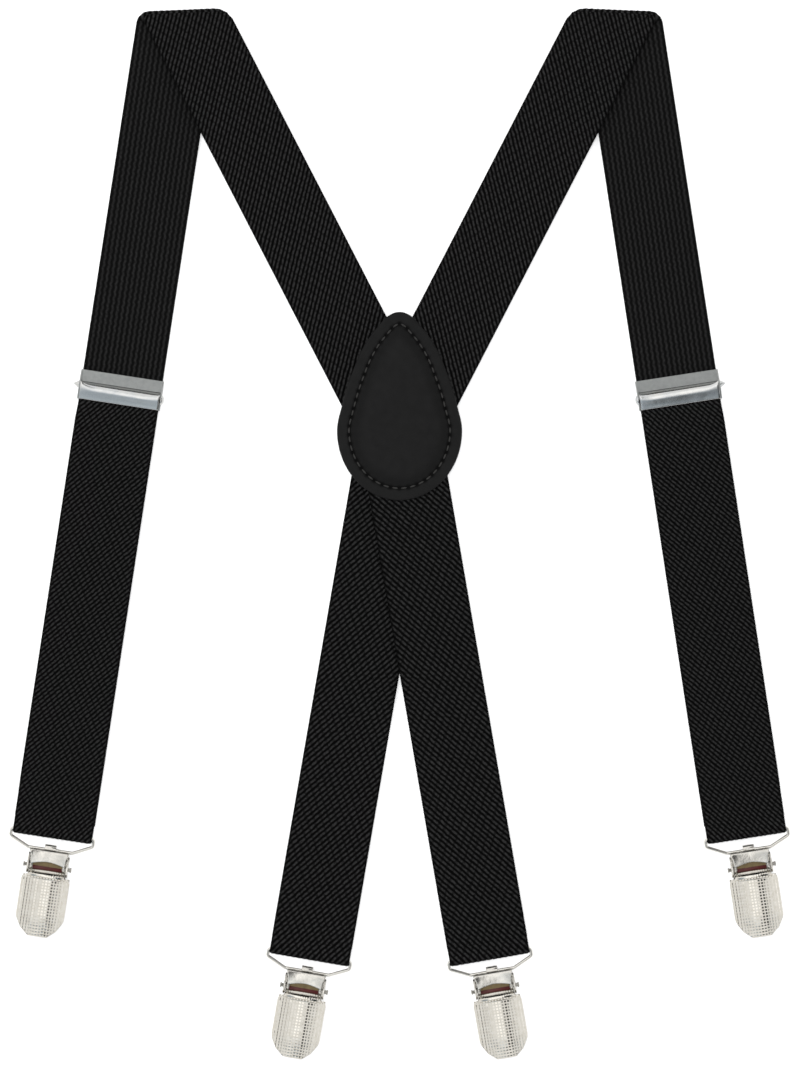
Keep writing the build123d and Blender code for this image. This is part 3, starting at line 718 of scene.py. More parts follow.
def tube(points, radius, sides=8):
    """Vertices and faces of a closed round thread along points, radius given at each."""
    points = np.array(points, float)
    ahead = np.gradient(points, axis=0)
    ahead /= np.linalg.norm(ahead, axis=1, keepdims=True)
    side = np.cross(ahead, [0, 0, 1.0])
    side /= np.linalg.norm(side, axis=1, keepdims=True)
    over = np.cross(side, ahead)
    turn = np.linspace(0, math.tau, sides, endpoint=False)
    ring = (np.cos(turn)[None, :, None] * side[:, None]
            + np.sin(turn)[None, :, None] * over[:, None])
    verts = points[:, None] + ring * np.asarray(radius)[:, None, None]
    faces = []
    for i in range(len(points) - 1):
        for k in range(sides):
            n = (k + 1) % sides
            faces.append([i * sides + k, i * sides + n, (i + 1) * sides + n,
                          (i + 1) * sides + k])
    faces.append(list(range(sides))[::-1])
    faces.append([(len(points) - 1) * sides + k for k in range(sides)])
    return verts.reshape(-1, 3), faces


def gathered(name, parts):
    """One object from several lists of vertices and faces."""
    verts, faces, base = [], [], 0
    for some, polygons in parts:
        verts.append(some)
        faces += [[base + k for k in polygon] for polygon in polygons]
        base += len(some)
    return mesh_object(name, np.concatenate(verts), faces)


def tail_stitches(name, plan):
    """Zigzag that holds the turned-up tail, seen on the underside."""
    low, high, radius, count = -24.5, -19.5, 0.22, 26
    t = np.linspace(0, 1, 7)
    z = Z_UNDER - 0.62 - 0.22 * np.sin(math.pi * t)
    taper = radius * np.sqrt(np.sin(math.pi * np.clip(t, 0.04, 0.96)))
    parts = []
    for i in range(count):
        s0, s1 = (low, high) if i % 2 else (high, low)
        parts.append(tube(plan.at(s0 + (s1 - s0) * t, i - count / 2 + t, z), taper))
    return gathered(name, parts)


class SUSPENDERS_OT_webbing(bpy.types.Operator):
    """Weave the straps: shoulders, folds, fronts, backs and their turns round the bails"""

    bl_idname = "suspenders.webbing"
    bl_label = "Elastic Webbing"

    def execute(self, context):
        for name, side in SIDES.items():
            webbing_of(side, name)
        return {"FINISHED"}


# ---------------------------------------------------------------- leather patch

PATCH_LOW, PATCH_TOP, PATCH_WIDE_Y, PATCH_HALF = 14.5, 95.8, 44.5, 27.0
PATCH_MIDDLE = np.array((0.0, 48.0))
COVER_TOP, COVER_UNDER, BACK_TOP, BACK_UNDER = 5.8, 4.3, 1.2, 0.02
SAG, SAG_OVER = 1.5, 7       # how far the leather sinks where no webbing lies below it
STRAP_REACH = 17.3           # half the webbing's width, as the leather feels it
# depth, and reach sideways, of the cover's rounded rim, its sewn groove and its pricked holes
RIM, GROOVE, HOLE = (0.55, 0.8), (0.38, 0.75), (0.4, 0.7)
UNDER_EDGE, BACK_EDGE = (0.35, 0.5), (0.3, 0.4)
STITCHES, STITCH_POINTS = 46, 40
STITCH_R, STITCH_SUNK, STITCH_LIFT = 0.34, 0.12, 0.42
FINE_OUTLINE, COVER_OUTLINE, COVER_RINGS, BACK_OUTLINE, BACK_RINGS = 1500, 420, 74, 260, 14


def even(ring, count):
    """count points, evenly spaced round a closed ring whose last point is its first."""
    return spaced(ring, np.linspace(0, distances(ring)[-1], count, endpoint=False))


def patch_outline(count):
    """Teardrop outline as points, evenly spaced, anticlockwise from the bottom."""
    lower = [(PATCH_HALF * math.cos(math.radians(a)),
              PATCH_WIDE_Y + (PATCH_WIDE_Y - PATCH_LOW) * math.sin(math.radians(a)))
             for a in np.linspace(-90, 0, 200)]
    marks = [(PATCH_HALF, 0), (24.7, 11.4), (20.8, 24.1), (14.9, 37.4), (9.0, 45.4),
             (4.4, 49.9), (0, PATCH_TOP - PATCH_WIDE_Y)]
    curve = bpy.data.curves.new("patch_edge", "CURVE")
    curve.dimensions = "3D"
    spline = curve.splines.new("BEZIER")
    spline.bezier_points.add(len(marks) - 1)
    for knot, (x, y) in zip(spline.bezier_points, marks):
        knot.co = (x, y + PATCH_WIDE_Y, 0)
        knot.handle_left_type = knot.handle_right_type = "AUTO"
    # upright at the widest place, level at the tip
    first, last = spline.bezier_points[0], spline.bezier_points[-1]
    for knot, (dx, dy) in ((first, (0, 4)), (last, (-1.8, 0))):
        knot.handle_left_type = knot.handle_right_type = "FREE"
        knot.handle_left = knot.co - Vector((dx, dy, 0))
        knot.handle_right = knot.co + Vector((dx, dy, 0))
    spline.resolution_u = 30
    holder = bpy.data.objects.new("patch_edge", curve)
    drawn = bpy.data.meshes.new_from_object(holder)
    upper = [(p.co.x, p.co.y) for p in drawn.vertices]
    bpy.data.objects.remove(holder)
    bpy.data.curves.remove(curve)
    bpy.data.meshes.remove(drawn)
    right = np.array(lower + upper[1:])
    left = right[::-1][1:-1] * [-1, 1]
    return even(np.concatenate([right, left, right[:1]]), count)


def inset_line(outline, inset, count):
    """The outline moved in by inset, evenly spaced."""
    ahead = np.roll(outline, -1, 0) - np.roll(outline, 1, 0)
    ahead /= np.linalg.norm(ahead, axis=1, keepdims=True)
    inward = np.stack([-ahead[:, 1], ahead[:, 0]], -1)
    moved = outline + inward * inset
    return even(np.concatenate([moved, moved[:1]]), count)


def nearest(points, line):
    """Distance of each point from the nearest point of line, taken a few at a time."""
    share = 2000
    out = np.empty(len(points))
    for i in range(0, len(points), share):
        gap = points[i:i + share, None] - line[None]
        out[i:i + share] = np.sqrt((gap ** 2).sum(2).min(1))
    return out


def close_to(points, line, reach):
    """1 on the line, falling away within reach of it."""
    return np.exp(-(nearest(points, line) / reach) ** 2)


def edge_round(points, line, reach):
    """0 from reach inwards, rising to 1 on the cut edge."""
    return np.clip(1 - nearest(points, line) / reach, 0, 1) ** 2


def sag(points):
    """How far the leather sinks at points that no webbing holds up."""
    xyz = np.concatenate([points, np.zeros((len(points), 1))], 1)
    straps = [plan(side) for plan in (shoulder_plan, back_plan) for side in (-1, 1)]
    off = np.min([np.abs((xyz - strap.origin) @ strap.v) for strap in straps], axis=0)
    return SAG * ease(np.clip(off - STRAP_REACH, 0, None), 0, SAG_OVER)


def polar(points):
    """Angle and distance of points from the patch's middle."""
    arm = points - PATCH_MIDDLE
    return np.arctan2(arm[:, 1], arm[:, 0]), np.linalg.norm(arm, axis=1)


def leather_disc(name, outline, rings, top, bottom):
    """A sheet cut to outline, between the height functions top(points) and bottom(points)."""
    count = len(outline)
    shares = np.linspace(1, 0, rings + 1)[:-1]
    plan = np.concatenate([PATCH_MIDDLE + (outline - PATCH_MIDDLE) * t for t in shares]
                          + [PATCH_MIDDLE[None]])
    verts = np.concatenate([np.concatenate([plan, height(plan)[:, None]], 1)
                            for height in (top, bottom)])
    base = len(plan)
    near = np.arange(count)
    after = (near + 1) % count
    faces = []
    for r in range(rings - 1):
        a, b = r * count + near, r * count + after
        faces += np.stack([a, b, b + count, a + count], -1).tolist()
        faces += (np.stack([a + count, b + count, b, a], -1) + base).tolist()
    a, b = (rings - 1) * count + near, (rings - 1) * count + after
    tip = np.full(count, base - 1)
    faces += np.stack([a, b, tip], -1).tolist() + (np.stack([b, a, tip], -1) + base).tolist()
    faces += np.stack([near + base, after + base, after, near], -1).tolist()
    x, y = outline.T
    area = abs(np.dot(x, np.roll(y, 1)) - np.dot(y, np.roll(x, 1))) / 2
    CUT_SIZES[name] = (np.ptp(x) * MM, np.ptp(y) * MM, area * MM ** 2)
    return mesh_object(name, verts, faces), plan


class SUSPENDERS_OT_patch(bpy.types.Operator):
    """Cut, dome and stitch the leather patch over the crossing"""

    bl_idname = "suspenders.patch"
    bl_label = "Leather Patch"

    def execute(self, context):
        patch = settings().patch
        fine = patch_outline(FINE_OUTLINE)
        inset = patch.inset / MM
        line = inset_line(fine, inset, FINE_OUTLINE)
        holes = inset_line(fine, inset, STITCHES)
        line_turn, line_reach = polar(line)
        order = np.argsort(line_turn)

        def top(p):
            turn, reach = polar(p)
            # 0 at the middle, 1 on the stitch line
            inside = reach / np.interp(turn, line_turn[order], line_reach[order],
                                       period=math.tau)
            dome = patch.rise / MM * (1 - np.clip(inside, 0, 1) ** 3)
            rim = RIM[0] * (1 - edge_round(p, fine, RIM[1])) - RIM[0]
            groove = GROOVE[0] * close_to(p, line, GROOVE[1])
            pinch = HOLE[0] * close_to(p, holes, HOLE[1])
            return COVER_TOP + dome + rim - groove - pinch - sag(p)

        def under(p):
            return COVER_UNDER + UNDER_EDGE[0] * edge_round(p, fine, UNDER_EDGE[1]) - sag(p)

        def back_edge(p):
            return BACK_EDGE[0] * edge_round(p, fine, BACK_EDGE[1])

        cover, plan = leather_disc("patch_cover", patch_outline(COVER_OUTLINE), COVER_RINGS,
                                   top, under)
        shade = np.zeros(len(cover.data.vertices), np.float32)
        # painted shade: darkest in the holes, then in the groove, with a soft band beside it
        # on its inner side
        shade[:len(plan)] = np.clip(
            1.5 * close_to(plan, holes, 0.95) + 0.35 * close_to(plan, line, 0.9)
            + 0.35 * np.exp(-((nearest(plan, line) - 2.2) / 2.4) ** 2)
            * (nearest(plan, fine) > inset), 0, 1)
        seam_shade = cover.data.attributes.new("painted_seam_shade", "FLOAT", "POINT")
        seam_shade.data.foreach_set("value", shade)
        fit_out(cover, "leather", "leather", "back", "patch_leather")

        back, _ = leather_disc("patch_back", patch_outline(BACK_OUTLINE), BACK_RINGS,
                               lambda p: BACK_TOP - back_edge(p),
                               lambda p: BACK_UNDER + back_edge(p))
        fit_out(back, "leather_back", "leather_back", "back", "patch_backing")

        # one stitch from each hole to the next, lying in the groove
        parts = []
        line = inset_line(fine, inset, STITCHES * STITCH_POINTS)
        for i in range(STITCHES):
            span = line[[(i * STITCH_POINTS + k) % len(line) for k in range(8, 33, 2)]]
            t = np.linspace(-1, 1, len(span))
            z = top(span) - STITCH_SUNK + STITCH_LIFT * (1 - t ** 4)
            parts.append(tube(np.concatenate([span, z[:, None]], 1),
                              STITCH_R * (1 - 0.45 * t ** 4)))
        thread = gathered("patch_thread", parts)
        fit_out(thread, "thread", "thread", "back", "patch_stitching")
        # both leathers are cut to one outline
        CUT_SIZES["patch_back"] = CUT_SIZES["patch_cover"]
        return {"FINISHED"}


# ---------------------------------------------------------------- pressed metal


def active(obj):
    bpy.ops.object.select_all(action="DESELECT")
    obj.select_set(True)
    bpy.context.view_layer.objects.active = obj


def formed(name, primitive, scale, shift, turn=0.0, **options):
    """A primitive turned about the strap's length, then scaled and moved in its own mesh, in
    millimetres."""
    bpy.ops.object.select_all(action="DESELECT")
    primitive(**options)
    made = bpy.context.object
    made.name = name
    bpy.ops.object.mode_set(mode="EDIT")
    bpy.ops.mesh.select_all(action="SELECT")
    if turn:
        bpy.ops.transform.rotate(value=turn, orient_axis="X", center_override=(0, 0, 0))
    bpy.ops.transform.resize(value=scale)
    bpy.ops.transform.translate(value=[c * MM for c in shift])
    bpy.ops.object.mode_set(mode="OBJECT")
    return made


def halfway(low, high):
    return [(a + b) / 2 for a, b in zip(low, high)]


def grid(name, cells_s, cells_v, low, high):
    """A flat grid primitive between two corners (s, v)."""
    return formed(name, bpy.ops.mesh.primitive_grid_add,
                  [*((b - a) * MM for a, b in zip(low, high)), 1], [*halfway(low, high), 0],
                  x_subdivisions=cells_s, y_subdivisions=cells_v, size=1)


def apply_modifier(obj, kind, **options):
    active(obj)
    modifier = obj.modifiers.new(kind.lower(), kind)
    for key, value in options.items():
        setattr(modifier, key, value)
    bpy.ops.object.modifier_apply(modifier=modifier.name)


def block(name, low, high, bevel):
    """A bevelled bar between two corners (s, v, z)."""
    made = formed(name, bpy.ops.mesh.primitive_cube_add,
                  [(b - a) * MM for a, b in zip(low, high)], halfway(low, high), size=1)
    apply_modifier(made, "BEVEL", width=bevel * MM, segments=2)
    return made


def pin(name, s, z, v_low, v_high, radius, sides=24):
    """A round pin across the strap."""
    made = formed(name, bpy.ops.mesh.primitive_cylinder_add, (1, 1, 1),
                  (s, (v_low + v_high) / 2, z), math.pi / 2, vertices=sides,
                  radius=radius * MM, depth=(v_high - v_low) * MM)
    apply_modifier(made, "BEVEL", width=0.15 * MM, segments=2, limit_method="ANGLE")
    return made


def press(obj, form):
    """Forms a flat sheet in the die: form takes and gives s, v and z in millimetres."""
    for vertex in obj.data.vertices:
        vertex.co = [c * MM for c in form(*(c / MM for c in vertex.co))]
    obj.data.update()


def along_section(section, k):
    """The place (s, z) at k steps along a section, and k kept within it."""
    k = min(max(k, 0), len(section) - 1)
    i = min(int(k), len(section) - 2)
    f = k - i
    return (*(a * (1 - f) + b * f for a, b in zip(section[i], section[i + 1])), k)


def sheet_metal(obj, thick, bevel, segments=2):
    """Gives a formed sheet its thickness, downwards, and breaks its edges."""
    apply_modifier(obj, "SOLIDIFY", thickness=thick * MM, offset=-1)
    apply_modifier(obj, "BEVEL", width=bevel * MM, segments=segments, limit_method="ANGLE",
                   angle_limit=math.radians(50))


def smooth(obj, angle):
    active(obj)
    bpy.ops.object.shade_smooth_by_angle(angle=math.radians(angle))
    return obj


def join(name, parts):
    active(parts[0])
    for part in parts:
        part.select_set(True)
    bpy.ops.object.join()
    parts[0].name = name
    return parts[0]


def placed(template, name, plan, flip=1):
    """A copy with its own mesh, moved from the strap's plane to its place in the frame."""
    made = bpy.data.objects.new(name, template.data.copy())
    made.data.name = name
    bpy.context.collection.objects.link(made)
    made.data.transform(plan.matrix(flip))
    if flip < 0:
        made.data.flip_normals()
    return made


def soften(node_name, finish_name, width):
    """A carried-over CAD piece: its finish, and its edges eased where width says so."""
    obj = paint(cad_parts[node_name], finish_name)
    if width:
        obj.modifiers.new("weld", "WELD").merge_threshold = 0.01 * MM
        eased = obj.modifiers.new("ease", "BEVEL")
        eased.width = width * MM
        eased.segments = 2
        eased.limit_method = "ANGLE"
        eased.angle_limit = math.radians(40)
        eased.harden_normals = False


# slide adjuster, in the front strap's plane
SLIDE_PIVOT_S, SLIDE_PIVOT_Z, SLIDE_PIVOT_R = -195.8, 4.6, 0.55
FLAP_HALF, FLAP_SHEET = 17.25, 0.5
# the flap's section from the turned-under upper lip over the ridge to the lower edge
FLAP_SECTION = (
    (-197.45, 3.9), (-197.3, 4.7), (-196.95, 5.5), (-196.5, 6.3), (-195.95, 6.95),
    (-195.3, 7.4), (-194.6, 7.6), (-193.9, 7.58), (-193.2, 7.4), (-192.5, 7.15),
    (-191.8, 6.92), (-191.1, 6.72), (-190.4, 6.56), (-189.95, 6.45), (-189.8, 6.1))


def flap_form(s, v, z):
    """Presses the flap: a ridge whose ends curl back, over a sloping plate."""
    ps, pz, k = along_section(FLAP_SECTION, s)
    end = max(0.0, (abs(v) - 10.5) / 6.75) ** 2
    ridge = math.exp(-((k - 5.5) / 2.6) ** 2)
    ps += -1.5 * end * ridge * (1.25 if v < 0 else 0.8) + 0.35 * ridge * v / 17
    pz += 0.15 * end * ridge + 0.06 * math.sin(v / 5.0) * (k / (len(FLAP_SECTION) - 1))
    return ps, v, pz


def flap_template():
    """The flap that nips the webbing, with its toothed lip, web, pivot and two end lugs."""
    last = len(FLAP_SECTION) - 1
    plate = grid("flap", last, 40, (0, -FLAP_HALF), (last, FLAP_HALF))
    press(plate, flap_form)
    sheet_metal(plate, FLAP_SHEET, 0.1)
    smooth(plate, 40)
    lip = block("lip", (-196.15, -16.8, 2.35), (-195.5, 16.8, 5.6), 0.12)
    web = block("web", (-196.4, -17.0, 4.2), (-195.2, 17.0, 6.1), 0.3)
    shaft = pin("shaft", SLIDE_PIVOT_S, SLIDE_PIVOT_Z, -18.6, 18.6, SLIDE_PIVOT_R)
    # a bent-out point at the outer end and a round boss at the inner one
    tab = formed("tab", bpy.ops.mesh.primitive_cone_add, (1, 1, 0.45),
                 (-196.1, -19.1, SLIDE_PIVOT_Z), -math.pi / 2, vertices=4,
                 radius1=1.7 * MM, radius2=0.25 * MM, depth=2.4 * MM)
    apply_modifier(tab, "BEVEL", width=0.12 * MM, segments=2)
    boss = formed("boss", bpy.ops.mesh.primitive_uv_sphere_add, (1.4, 0.85, 0.8),
                  (-194.4, 18.0, SLIDE_PIVOT_Z), segments=20, ring_count=12,
                  radius=1.5 * MM)
    return smooth(join("flap", [plate, lip, web, shaft, tab, boss]), 40)


class SUSPENDERS_OT_slides(bpy.types.Operator):
    """Form the two slide adjusters"""

    bl_idname = "suspenders.slides"
    bl_label = "Slide Adjusters"

    def execute(self, context):
        template = flap_template()
        for name, side in SIDES.items():
            flap = placed(template, f"slide_flap_plate_{name}", front_plan(side), -side)
            fit_out(flap, "slide_polished", "slide_polished", f"slide_flap_{name}",
                    f"slide_lever_{name}")
            soften(f"slide_frame_{name}", "slide_satin", 0.12)
        bpy.data.objects.remove(template)
        return {"FINISHED"}


# clip, in its strap's plane
JAW_TOP, JAW_TIP, JAW_HALF, JAW_TIP_HALF, JAW_TAPER = 16.3, 42.5, 10.5, 4.15, 33.2
JAW_RIM_Z, JAW_CROWN_Z, JAW_BOW_R, JAW_BOW = 3.4, 6.75, 12.6, 2.5
JAW_SHEET, KNURL_EDGE = 0.45, 0.27
NECK_HALF, NECK_SHEET, NECK_TOOTH = 7.75, 0.5, 1.05
# the neck's section from its lower edge behind the lever up to the shell
NECK_SECTION = (
    (13.75, 4.2), (13.82, 4.55), (14.05, 4.72), (14.35, 4.87), (14.7, 5.05), (15.0, 5.35),
    (15.3, 5.7), (15.6, 6.05), (16.0, 6.2), (16.6, 6.2), (17.2, 6.15), (17.9, 6.1),
    (18.6, 6.0))
ARM_IN, ARM_OUT, HINGE_S, HINGE_Z = 7.0, 7.7, 8.2, 2.2
LEVER_TOP, LEVER_ARCH, LEVER_WAIST, LEVER_HORN = 5.1, 10.0, 7.45, 1.45
LEVER_CROWN_Z, LEVER_SHEET, CHEEK_IN = 6.6, 0.6, 6.75
CAM_S, CAM_Z, CAM_R = 11.93, 4.77, 1.6


def jaw_form(s, v, z):
    """Bows the jaw's flat blank across and lets it fall at both ends."""
    def rise(at):
        return 1 - math.sqrt(max(0.0, 1 - (at / JAW_BOW_R) ** 2))

    bow = JAW_BOW * rise(v) / rise(JAW_HALF)
    fall = 0.7 * max(0.0, (s - 32.5) / 7) ** 1.5
    shoulder = 0.9 * max(0.0, (17.9 - s) / 1.6) ** 2
    return s, v, JAW_CROWN_Z - bow - fall - shoulder + z


def neck_form(s, v, z):
    """Crimps the neck: a stepped strip that widens into the shell, with small ribs."""
    ps, pz, k = along_section(NECK_SECTION, s)
    pv = v * (NECK_HALF + 0.9 * max(0.0, (ps - 15.9) / 1.4))
    bow = 0.55 * abs(v) ** 2.5 + 1.2 * max(0.0, (ps - 16.0) / 2) * v * v
    teeth = 0.16 * math.cos(pv * math.tau / NECK_TOOTH) * math.exp(-((k - 4.5) / 2.2) ** 2)
    return ps, pv, pz - bow + teeth * (0.4 if v < -0.1 else 1.0)


def lever_form(s, v, z):
    """Dishes the lever's plate: horned top corners, a waist and an arched lower edge."""
    k = s / 16
    ps = LEVER_TOP + (LEVER_ARCH + 1.5 * abs(v) ** 1.7 - LEVER_TOP) * k
    ps += 0.5 * max(0.0, abs(v) - 0.93) / 0.07 * (1 - k)
    half = LEVER_WAIST + LEVER_HORN * (1 - min(1.0, (ps - LEVER_TOP) / 3.7)) ** 1.8
    crown = LEVER_CROWN_Z + 0.75 * v * v * (1 - k) - 0.75 * max(0.0, (0.16 - k) / 0.16) ** 2
    return ps, v * half, crown + 0.07 * math.sin(2.6 * v + 3.0 * k + 0.6)


def knurled_shell():
    """The jaw's shell: a blank knurled all over, trimmed, bowed, rimmed and thickened."""
    metal = settings().metal
    pitch = metal.knurl_pitch / MM
    rows, cols = round((JAW_TIP - JAW_TOP) / pitch), round(2 * JAW_HALF / pitch)
    shell = grid("jaw", rows, cols, (JAW_TOP, -JAW_HALF), (JAW_TIP, JAW_HALF))
    active(shell)
    bpy.ops.object.mode_set(mode="EDIT")
    bpy.ops.mesh.select_all(action="SELECT")
    bpy.ops.mesh.inset(use_individual=True, thickness=KNURL_EDGE * MM,
                       depth=metal.knurl_height)
    # the outline: rounded shoulders, then chamfers that draw in to the tip. Each cut is a
    # point (s, v) on one side and the way that the waste lies from it
    for way in (-1, 1):
        for s, v, ns, nv in ((JAW_TAPER, JAW_HALF, 0.12, 1.0),
                             (JAW_TAPER + 3.6, JAW_HALF - 1.2, 0.52, 0.85),
                             (JAW_TAPER + 1.9, JAW_HALF - 0.4, 0.32, 0.95),
                             (JAW_TIP - 1.3, JAW_TIP_HALF + 1.5, 0.76, 0.65),
                             (JAW_TIP, JAW_TIP_HALF, 0.93, 0.36),
                             (JAW_TOP + 2.1, JAW_HALF, -0.26, 0.97),
                             (JAW_TOP + 0.65, JAW_HALF - 0.65, -0.7, 0.7),
                             (JAW_TOP, JAW_HALF - 2.1, -0.97, 0.26)):
            bpy.ops.mesh.select_all(action="SELECT")
            bpy.ops.mesh.bisect(plane_co=(s * MM, way * v * MM, 0),
                                plane_no=(ns, way * nv, 0), clear_outer=True, use_fill=False)
    bpy.ops.object.mode_set(mode="OBJECT")
    press(shell, jaw_form)

    # fold the rim down
    active(shell)
    bpy.ops.object.mode_set(mode="EDIT")
    bpy.ops.mesh.select_all(action="DESELECT")
    bpy.ops.mesh.select_mode(type="EDGE")
    bpy.ops.mesh.select_non_manifold(extend=False)
    for drop in (0.6, 0.3):
        bpy.ops.mesh.extrude_edges_move(TRANSFORM_OT_translate={"value": (0, 0, -drop * MM)})
    bpy.ops.object.mode_set(mode="OBJECT")
    for vertex in shell.data.vertices:
        if vertex.select:
            vertex.co.z = JAW_RIM_Z * MM
    bpy.ops.object.mode_set(mode="EDIT")
    bpy.ops.mesh.select_all(action="SELECT")
    bpy.ops.mesh.normals_make_consistent(inside=False)
    bpy.ops.object.mode_set(mode="OBJECT")
    if sum(p.normal.z * p.area for p in shell.data.polygons) < 0:
        shell.data.flip_normals()
    apply_modifier(shell, "SOLIDIFY", thickness=JAW_SHEET * MM, offset=-1)
    return shell


def jaw_template():
    """Front jaw: knurled bowed shell, crimped neck, arms and hinge lugs."""
    last = len(NECK_SECTION) - 1
    shell = knurled_shell()
    neck = grid("neck", last, 60, (0, -1), (last, 1))
    press(neck, neck_form)
    sheet_metal(neck, NECK_SHEET, 0.08, 1)
    parts = [shell, neck]
    for way in (-1, 1):
        low, high = sorted((way * ARM_IN, way * ARM_OUT))
        lug = sorted((way * 7.5, way * 8.9))
        parts += [block("arm", (7.7, low, 1.6), (15.3, high, 3.0), 0.12),
                  block("gusset", (14.3, low, 1.7), (15.4, high, 4.6), 0.12),
                  pin("lug", HINGE_S, HINGE_Z, *lug, 0.6),
                  pin("eye", HINGE_S, HINGE_Z + 0.1, low, high, 0.72)]
    return smooth(join("jaw", parts), 28)


def lever_template():
    """Clip lever: waisted plate with an arched lower edge, and cheeks with round cams."""
    plate = grid("lever", 16, 36, (0, -1), (16, 1))
    press(plate, lever_form)
    sheet_metal(plate, LEVER_SHEET, 0.12)
    parts = [plate]
    for way in (-1, 1):
        low, high = sorted((way * CHEEK_IN, way * LEVER_WAIST))
        parts += [block("cheek", (9.2, low, 4.2), (12.5, high, 6.2), 0.15),
                  pin("cam", CAM_S, CAM_Z, low, high, CAM_R, 32)]
    return smooth(join("lever", parts), 35)


class SUSPENDERS_OT_clips(bpy.types.Operator):
    """Press the four clips: levers, knurled jaws and liners; the rest keeps its CAD form"""

    bl_idname = "suspenders.clips"
    bl_label = "Clips"

    def execute(self, context):
        jaw, lever = jaw_template(), lever_template()
        lip = smooth(block("lip", (12.2, -6.5, 2.7), (13.75, 6.5, 3.75), 0.25), 35)
        for name, (end, lean, side) in CLIPS.items():
            plan = Plan(end, lean, side)
            fit_out(placed(jaw, f"knurled_jaw_{name}", plan), "knurled_nickel",
                    "knurled_nickel", f"jaw_{name}", f"clip_jaw_{name}")
            fit_out(placed(lever, f"pressed_lever_{name}", plan), "nickel_plate",
                    "nickel_plate", f"lever_{name}", f"clip_lever_{name}")
            fit_out(placed(lip, f"liner_lip_{name}", plan), "liner_lip", "pad_plastic",
                    f"jaw_{name}")
            for piece, finish_name, width in (
                    ("bail", "bail_wire", 0), ("clip_base", "nickel_plate", 0.1),
                    ("clip_rivets", "rivet_steel", 0.2), ("rear_pad", "pad_plastic", 0.1),
                    ("front_pad", "pad_plastic", 0.1)):
                soften(f"{piece}_{name}", finish_name, width)
        for template in (jaw, lever, lip):
            bpy.data.objects.remove(template)
        return {"FINISHED"}


# ---------------------------------------------------------------- stage

TABLE_Z = -0.0003
# the lamps: place, size and power
LAMPS = {
    "key": ((-0.9, 0.7, 1.5), 1.2, 7.0),
    "top": ((0.0, 0.05, 3.0), 0.6, 60.0),
}


def soft_tent():
    """A white tent with one dark flag to the right of the lens and a cool patch below it,
    for the metal to reflect. Both fade out away from the zenith, so the table stays white."""
    world = bpy.data.worlds.new("soft_tent")
    world.use_nodes = True
    add = adder(world.node_tree)
    axes = add("SeparateXYZ", {0: add("TexCoord", {}).outputs["Generated"]})

    def band(axis, stops):
        """Tints by the angle from overhead towards axis, from one horizon to the other."""
        lean = add("Math", {0: axes.outputs[axis], 1: axes.outputs["Z"]},
                   operation="ARCTAN2")
        across = add("MapRange", {0: lean, 1: -math.pi / 2, 2: math.pi / 2})
        return add("ValToRGB", {0: across}, stops=stops)

    strip = band("X", [
        (0.0, grey(0.75)), (0.30, grey(0.9)), (0.39, grey(1.3)), (0.44, grey(0.95)),
        (0.48, grey(1.5)), (0.535, grey(1.3)), (0.553, grey(0.04)), (0.63, grey(0.02)),
        (0.66, grey(0.4)), (0.72, grey(0.8)), (1.0, grey(0.75))])
    shade = band("Y", [
        (0.0, grey(1.0)), (0.20, grey(0.9)), (0.27, linear("9aa3aa")),
        (0.36, linear("a4aeb6")), (0.46, grey(1.0)), (1.0, grey(1.0))])
    both = add("Mix", {"Factor": 1.0, "A": strip, "B": shade}, data_type="RGBA",
               blend_type="MULTIPLY")
    high = add("MapRange", {0: axes.outputs["Z"], 1: 0.6, 2: 0.8},
               interpolation_type="SMOOTHSTEP")
    light = add("Mix", {"Factor": high, "A": grey(1.0), "B": both}, data_type="RGBA")
    add(SKY, {"Color": light, "Strength": 1.15})
    return world


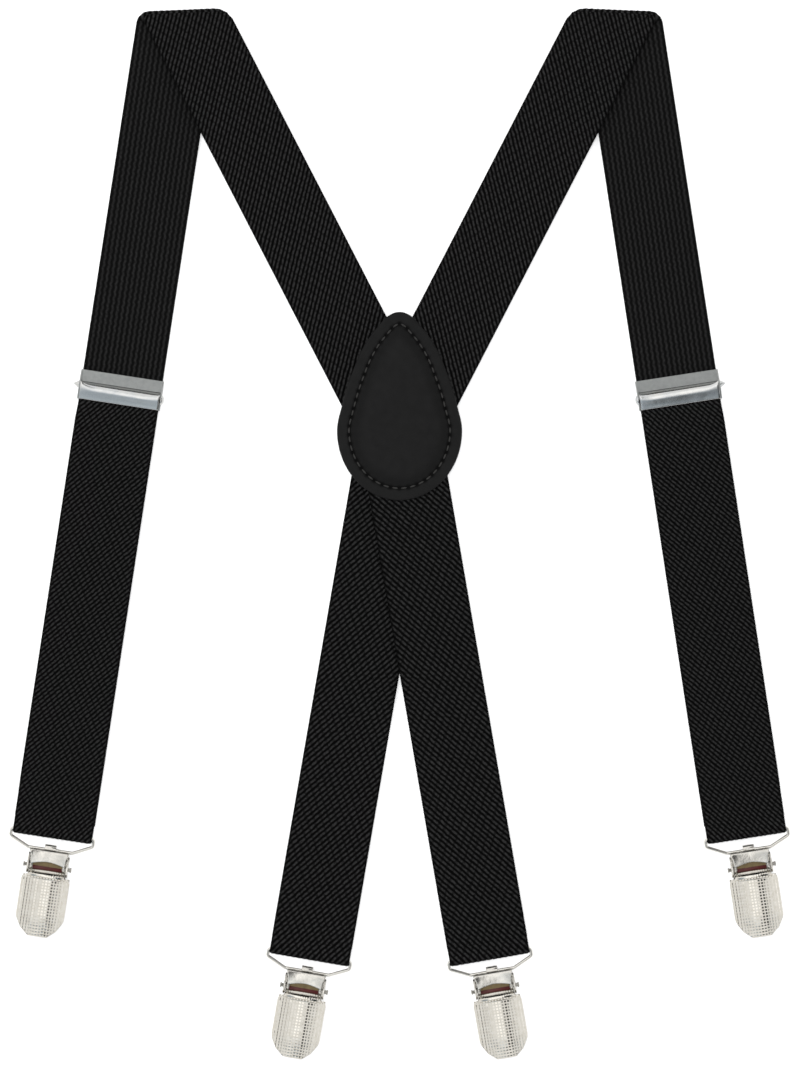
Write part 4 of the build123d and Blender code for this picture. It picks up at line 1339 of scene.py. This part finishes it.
class SUSPENDERS_OT_stage(bpy.types.Operator):
    """Lay out the table, the soft studio light and the camera overhead"""

    bl_idname = "suspenders.stage"
    bl_label = "Stage"

    def execute(self, context):
        stage = settings().stage
        bpy.ops.object.select_all(action="DESELECT")
        bpy.ops.mesh.primitive_plane_add(size=30, location=(0, 0, 0))
        floor = bpy.context.object
        floor.name = "table"
        for vertex in floor.data.vertices:
            vertex.co.z = TABLE_Z
        # laminate: a plain white without gloss, so that the light alone shows on it
        made, add = finish_of("white_laminate_table")
        add(SHADER, {"Base Color": linear(stage.floor_colour), "Roughness": 0.9,
                     "Specular IOR Level": 0.1})
        floor.data.materials.append(made)
        context.scene.world = soft_tent()

        for name, (place, size, power) in LAMPS.items():
            lamp = bpy.data.lights.new(name, "AREA")
            lamp.size = size
            lamp.energy = power
            holder = bpy.data.objects.new(name, lamp)
            holder.visible_glossy = False
            holder.location = place
            holder.rotation_euler = (-Vector(place)).to_track_quat("-Z", "Y").to_euler()
            context.collection.objects.link(holder)

        lens = bpy.data.cameras.new("overhead")
        lens.lens = stage.lens
        lens.sensor_width = 36
        lens.clip_end = 50
        camera = bpy.data.objects.new("overhead", lens)
        camera.location = (0.0002, 0.00015, stage.camera_height)
        context.collection.objects.link(camera)
        context.scene.camera = camera
        context.scene.view_settings.view_transform = "Standard"
        context.scene.view_settings.look = "None"
        return {"FINISHED"}


# ---------------------------------------------------------------- add-on


class SUSPENDERS_PT_panel(bpy.types.Panel):
    """The builder's pieces, in the order they are made"""

    bl_label = "Suspenders"
    bl_idname = "SUSPENDERS_PT_panel"
    bl_space_type = "VIEW_3D"
    bl_region_type = "UI"
    bl_category = "Suspenders"

    def draw(self, context):
        layout = self.layout
        for piece in BUILDERS:
            layout.operator(piece.bl_idname)
        for group in ("webbing", "patch", "metal", "stage"):
            box = layout.box()
            box.label(text=group.title())
            values = getattr(context.scene.suspenders, group)
            for name in values.__annotations__:
                box.prop(values, name)


BUILDERS = (SUSPENDERS_OT_webbing, SUSPENDERS_OT_patch, SUSPENDERS_OT_slides,
            SUSPENDERS_OT_clips, SUSPENDERS_OT_stage)
CLASSES = (WebbingSettings, PatchSettings, MetalSettings, StageSettings, SuspendersSettings,
           *BUILDERS, SUSPENDERS_PT_panel)


def register():
    for cls in CLASSES:
        bpy.utils.register_class(cls)
    bpy.types.Scene.suspenders = bpy.props.PointerProperty(
        type=SuspendersSettings, name="Suspenders", description="Sizes and colours")


def unregister():
    del bpy.types.Scene.suspenders
    for cls in reversed(CLASSES):
        bpy.utils.unregister_class(cls)


def main():
    register()
    bpy.ops.suspenders.webbing()
    bpy.ops.suspenders.patch()
    bpy.ops.suspenders.slides()
    bpy.ops.suspenders.clips()
    bpy.ops.suspenders.stage()


if __name__ == "__main__":
    main()
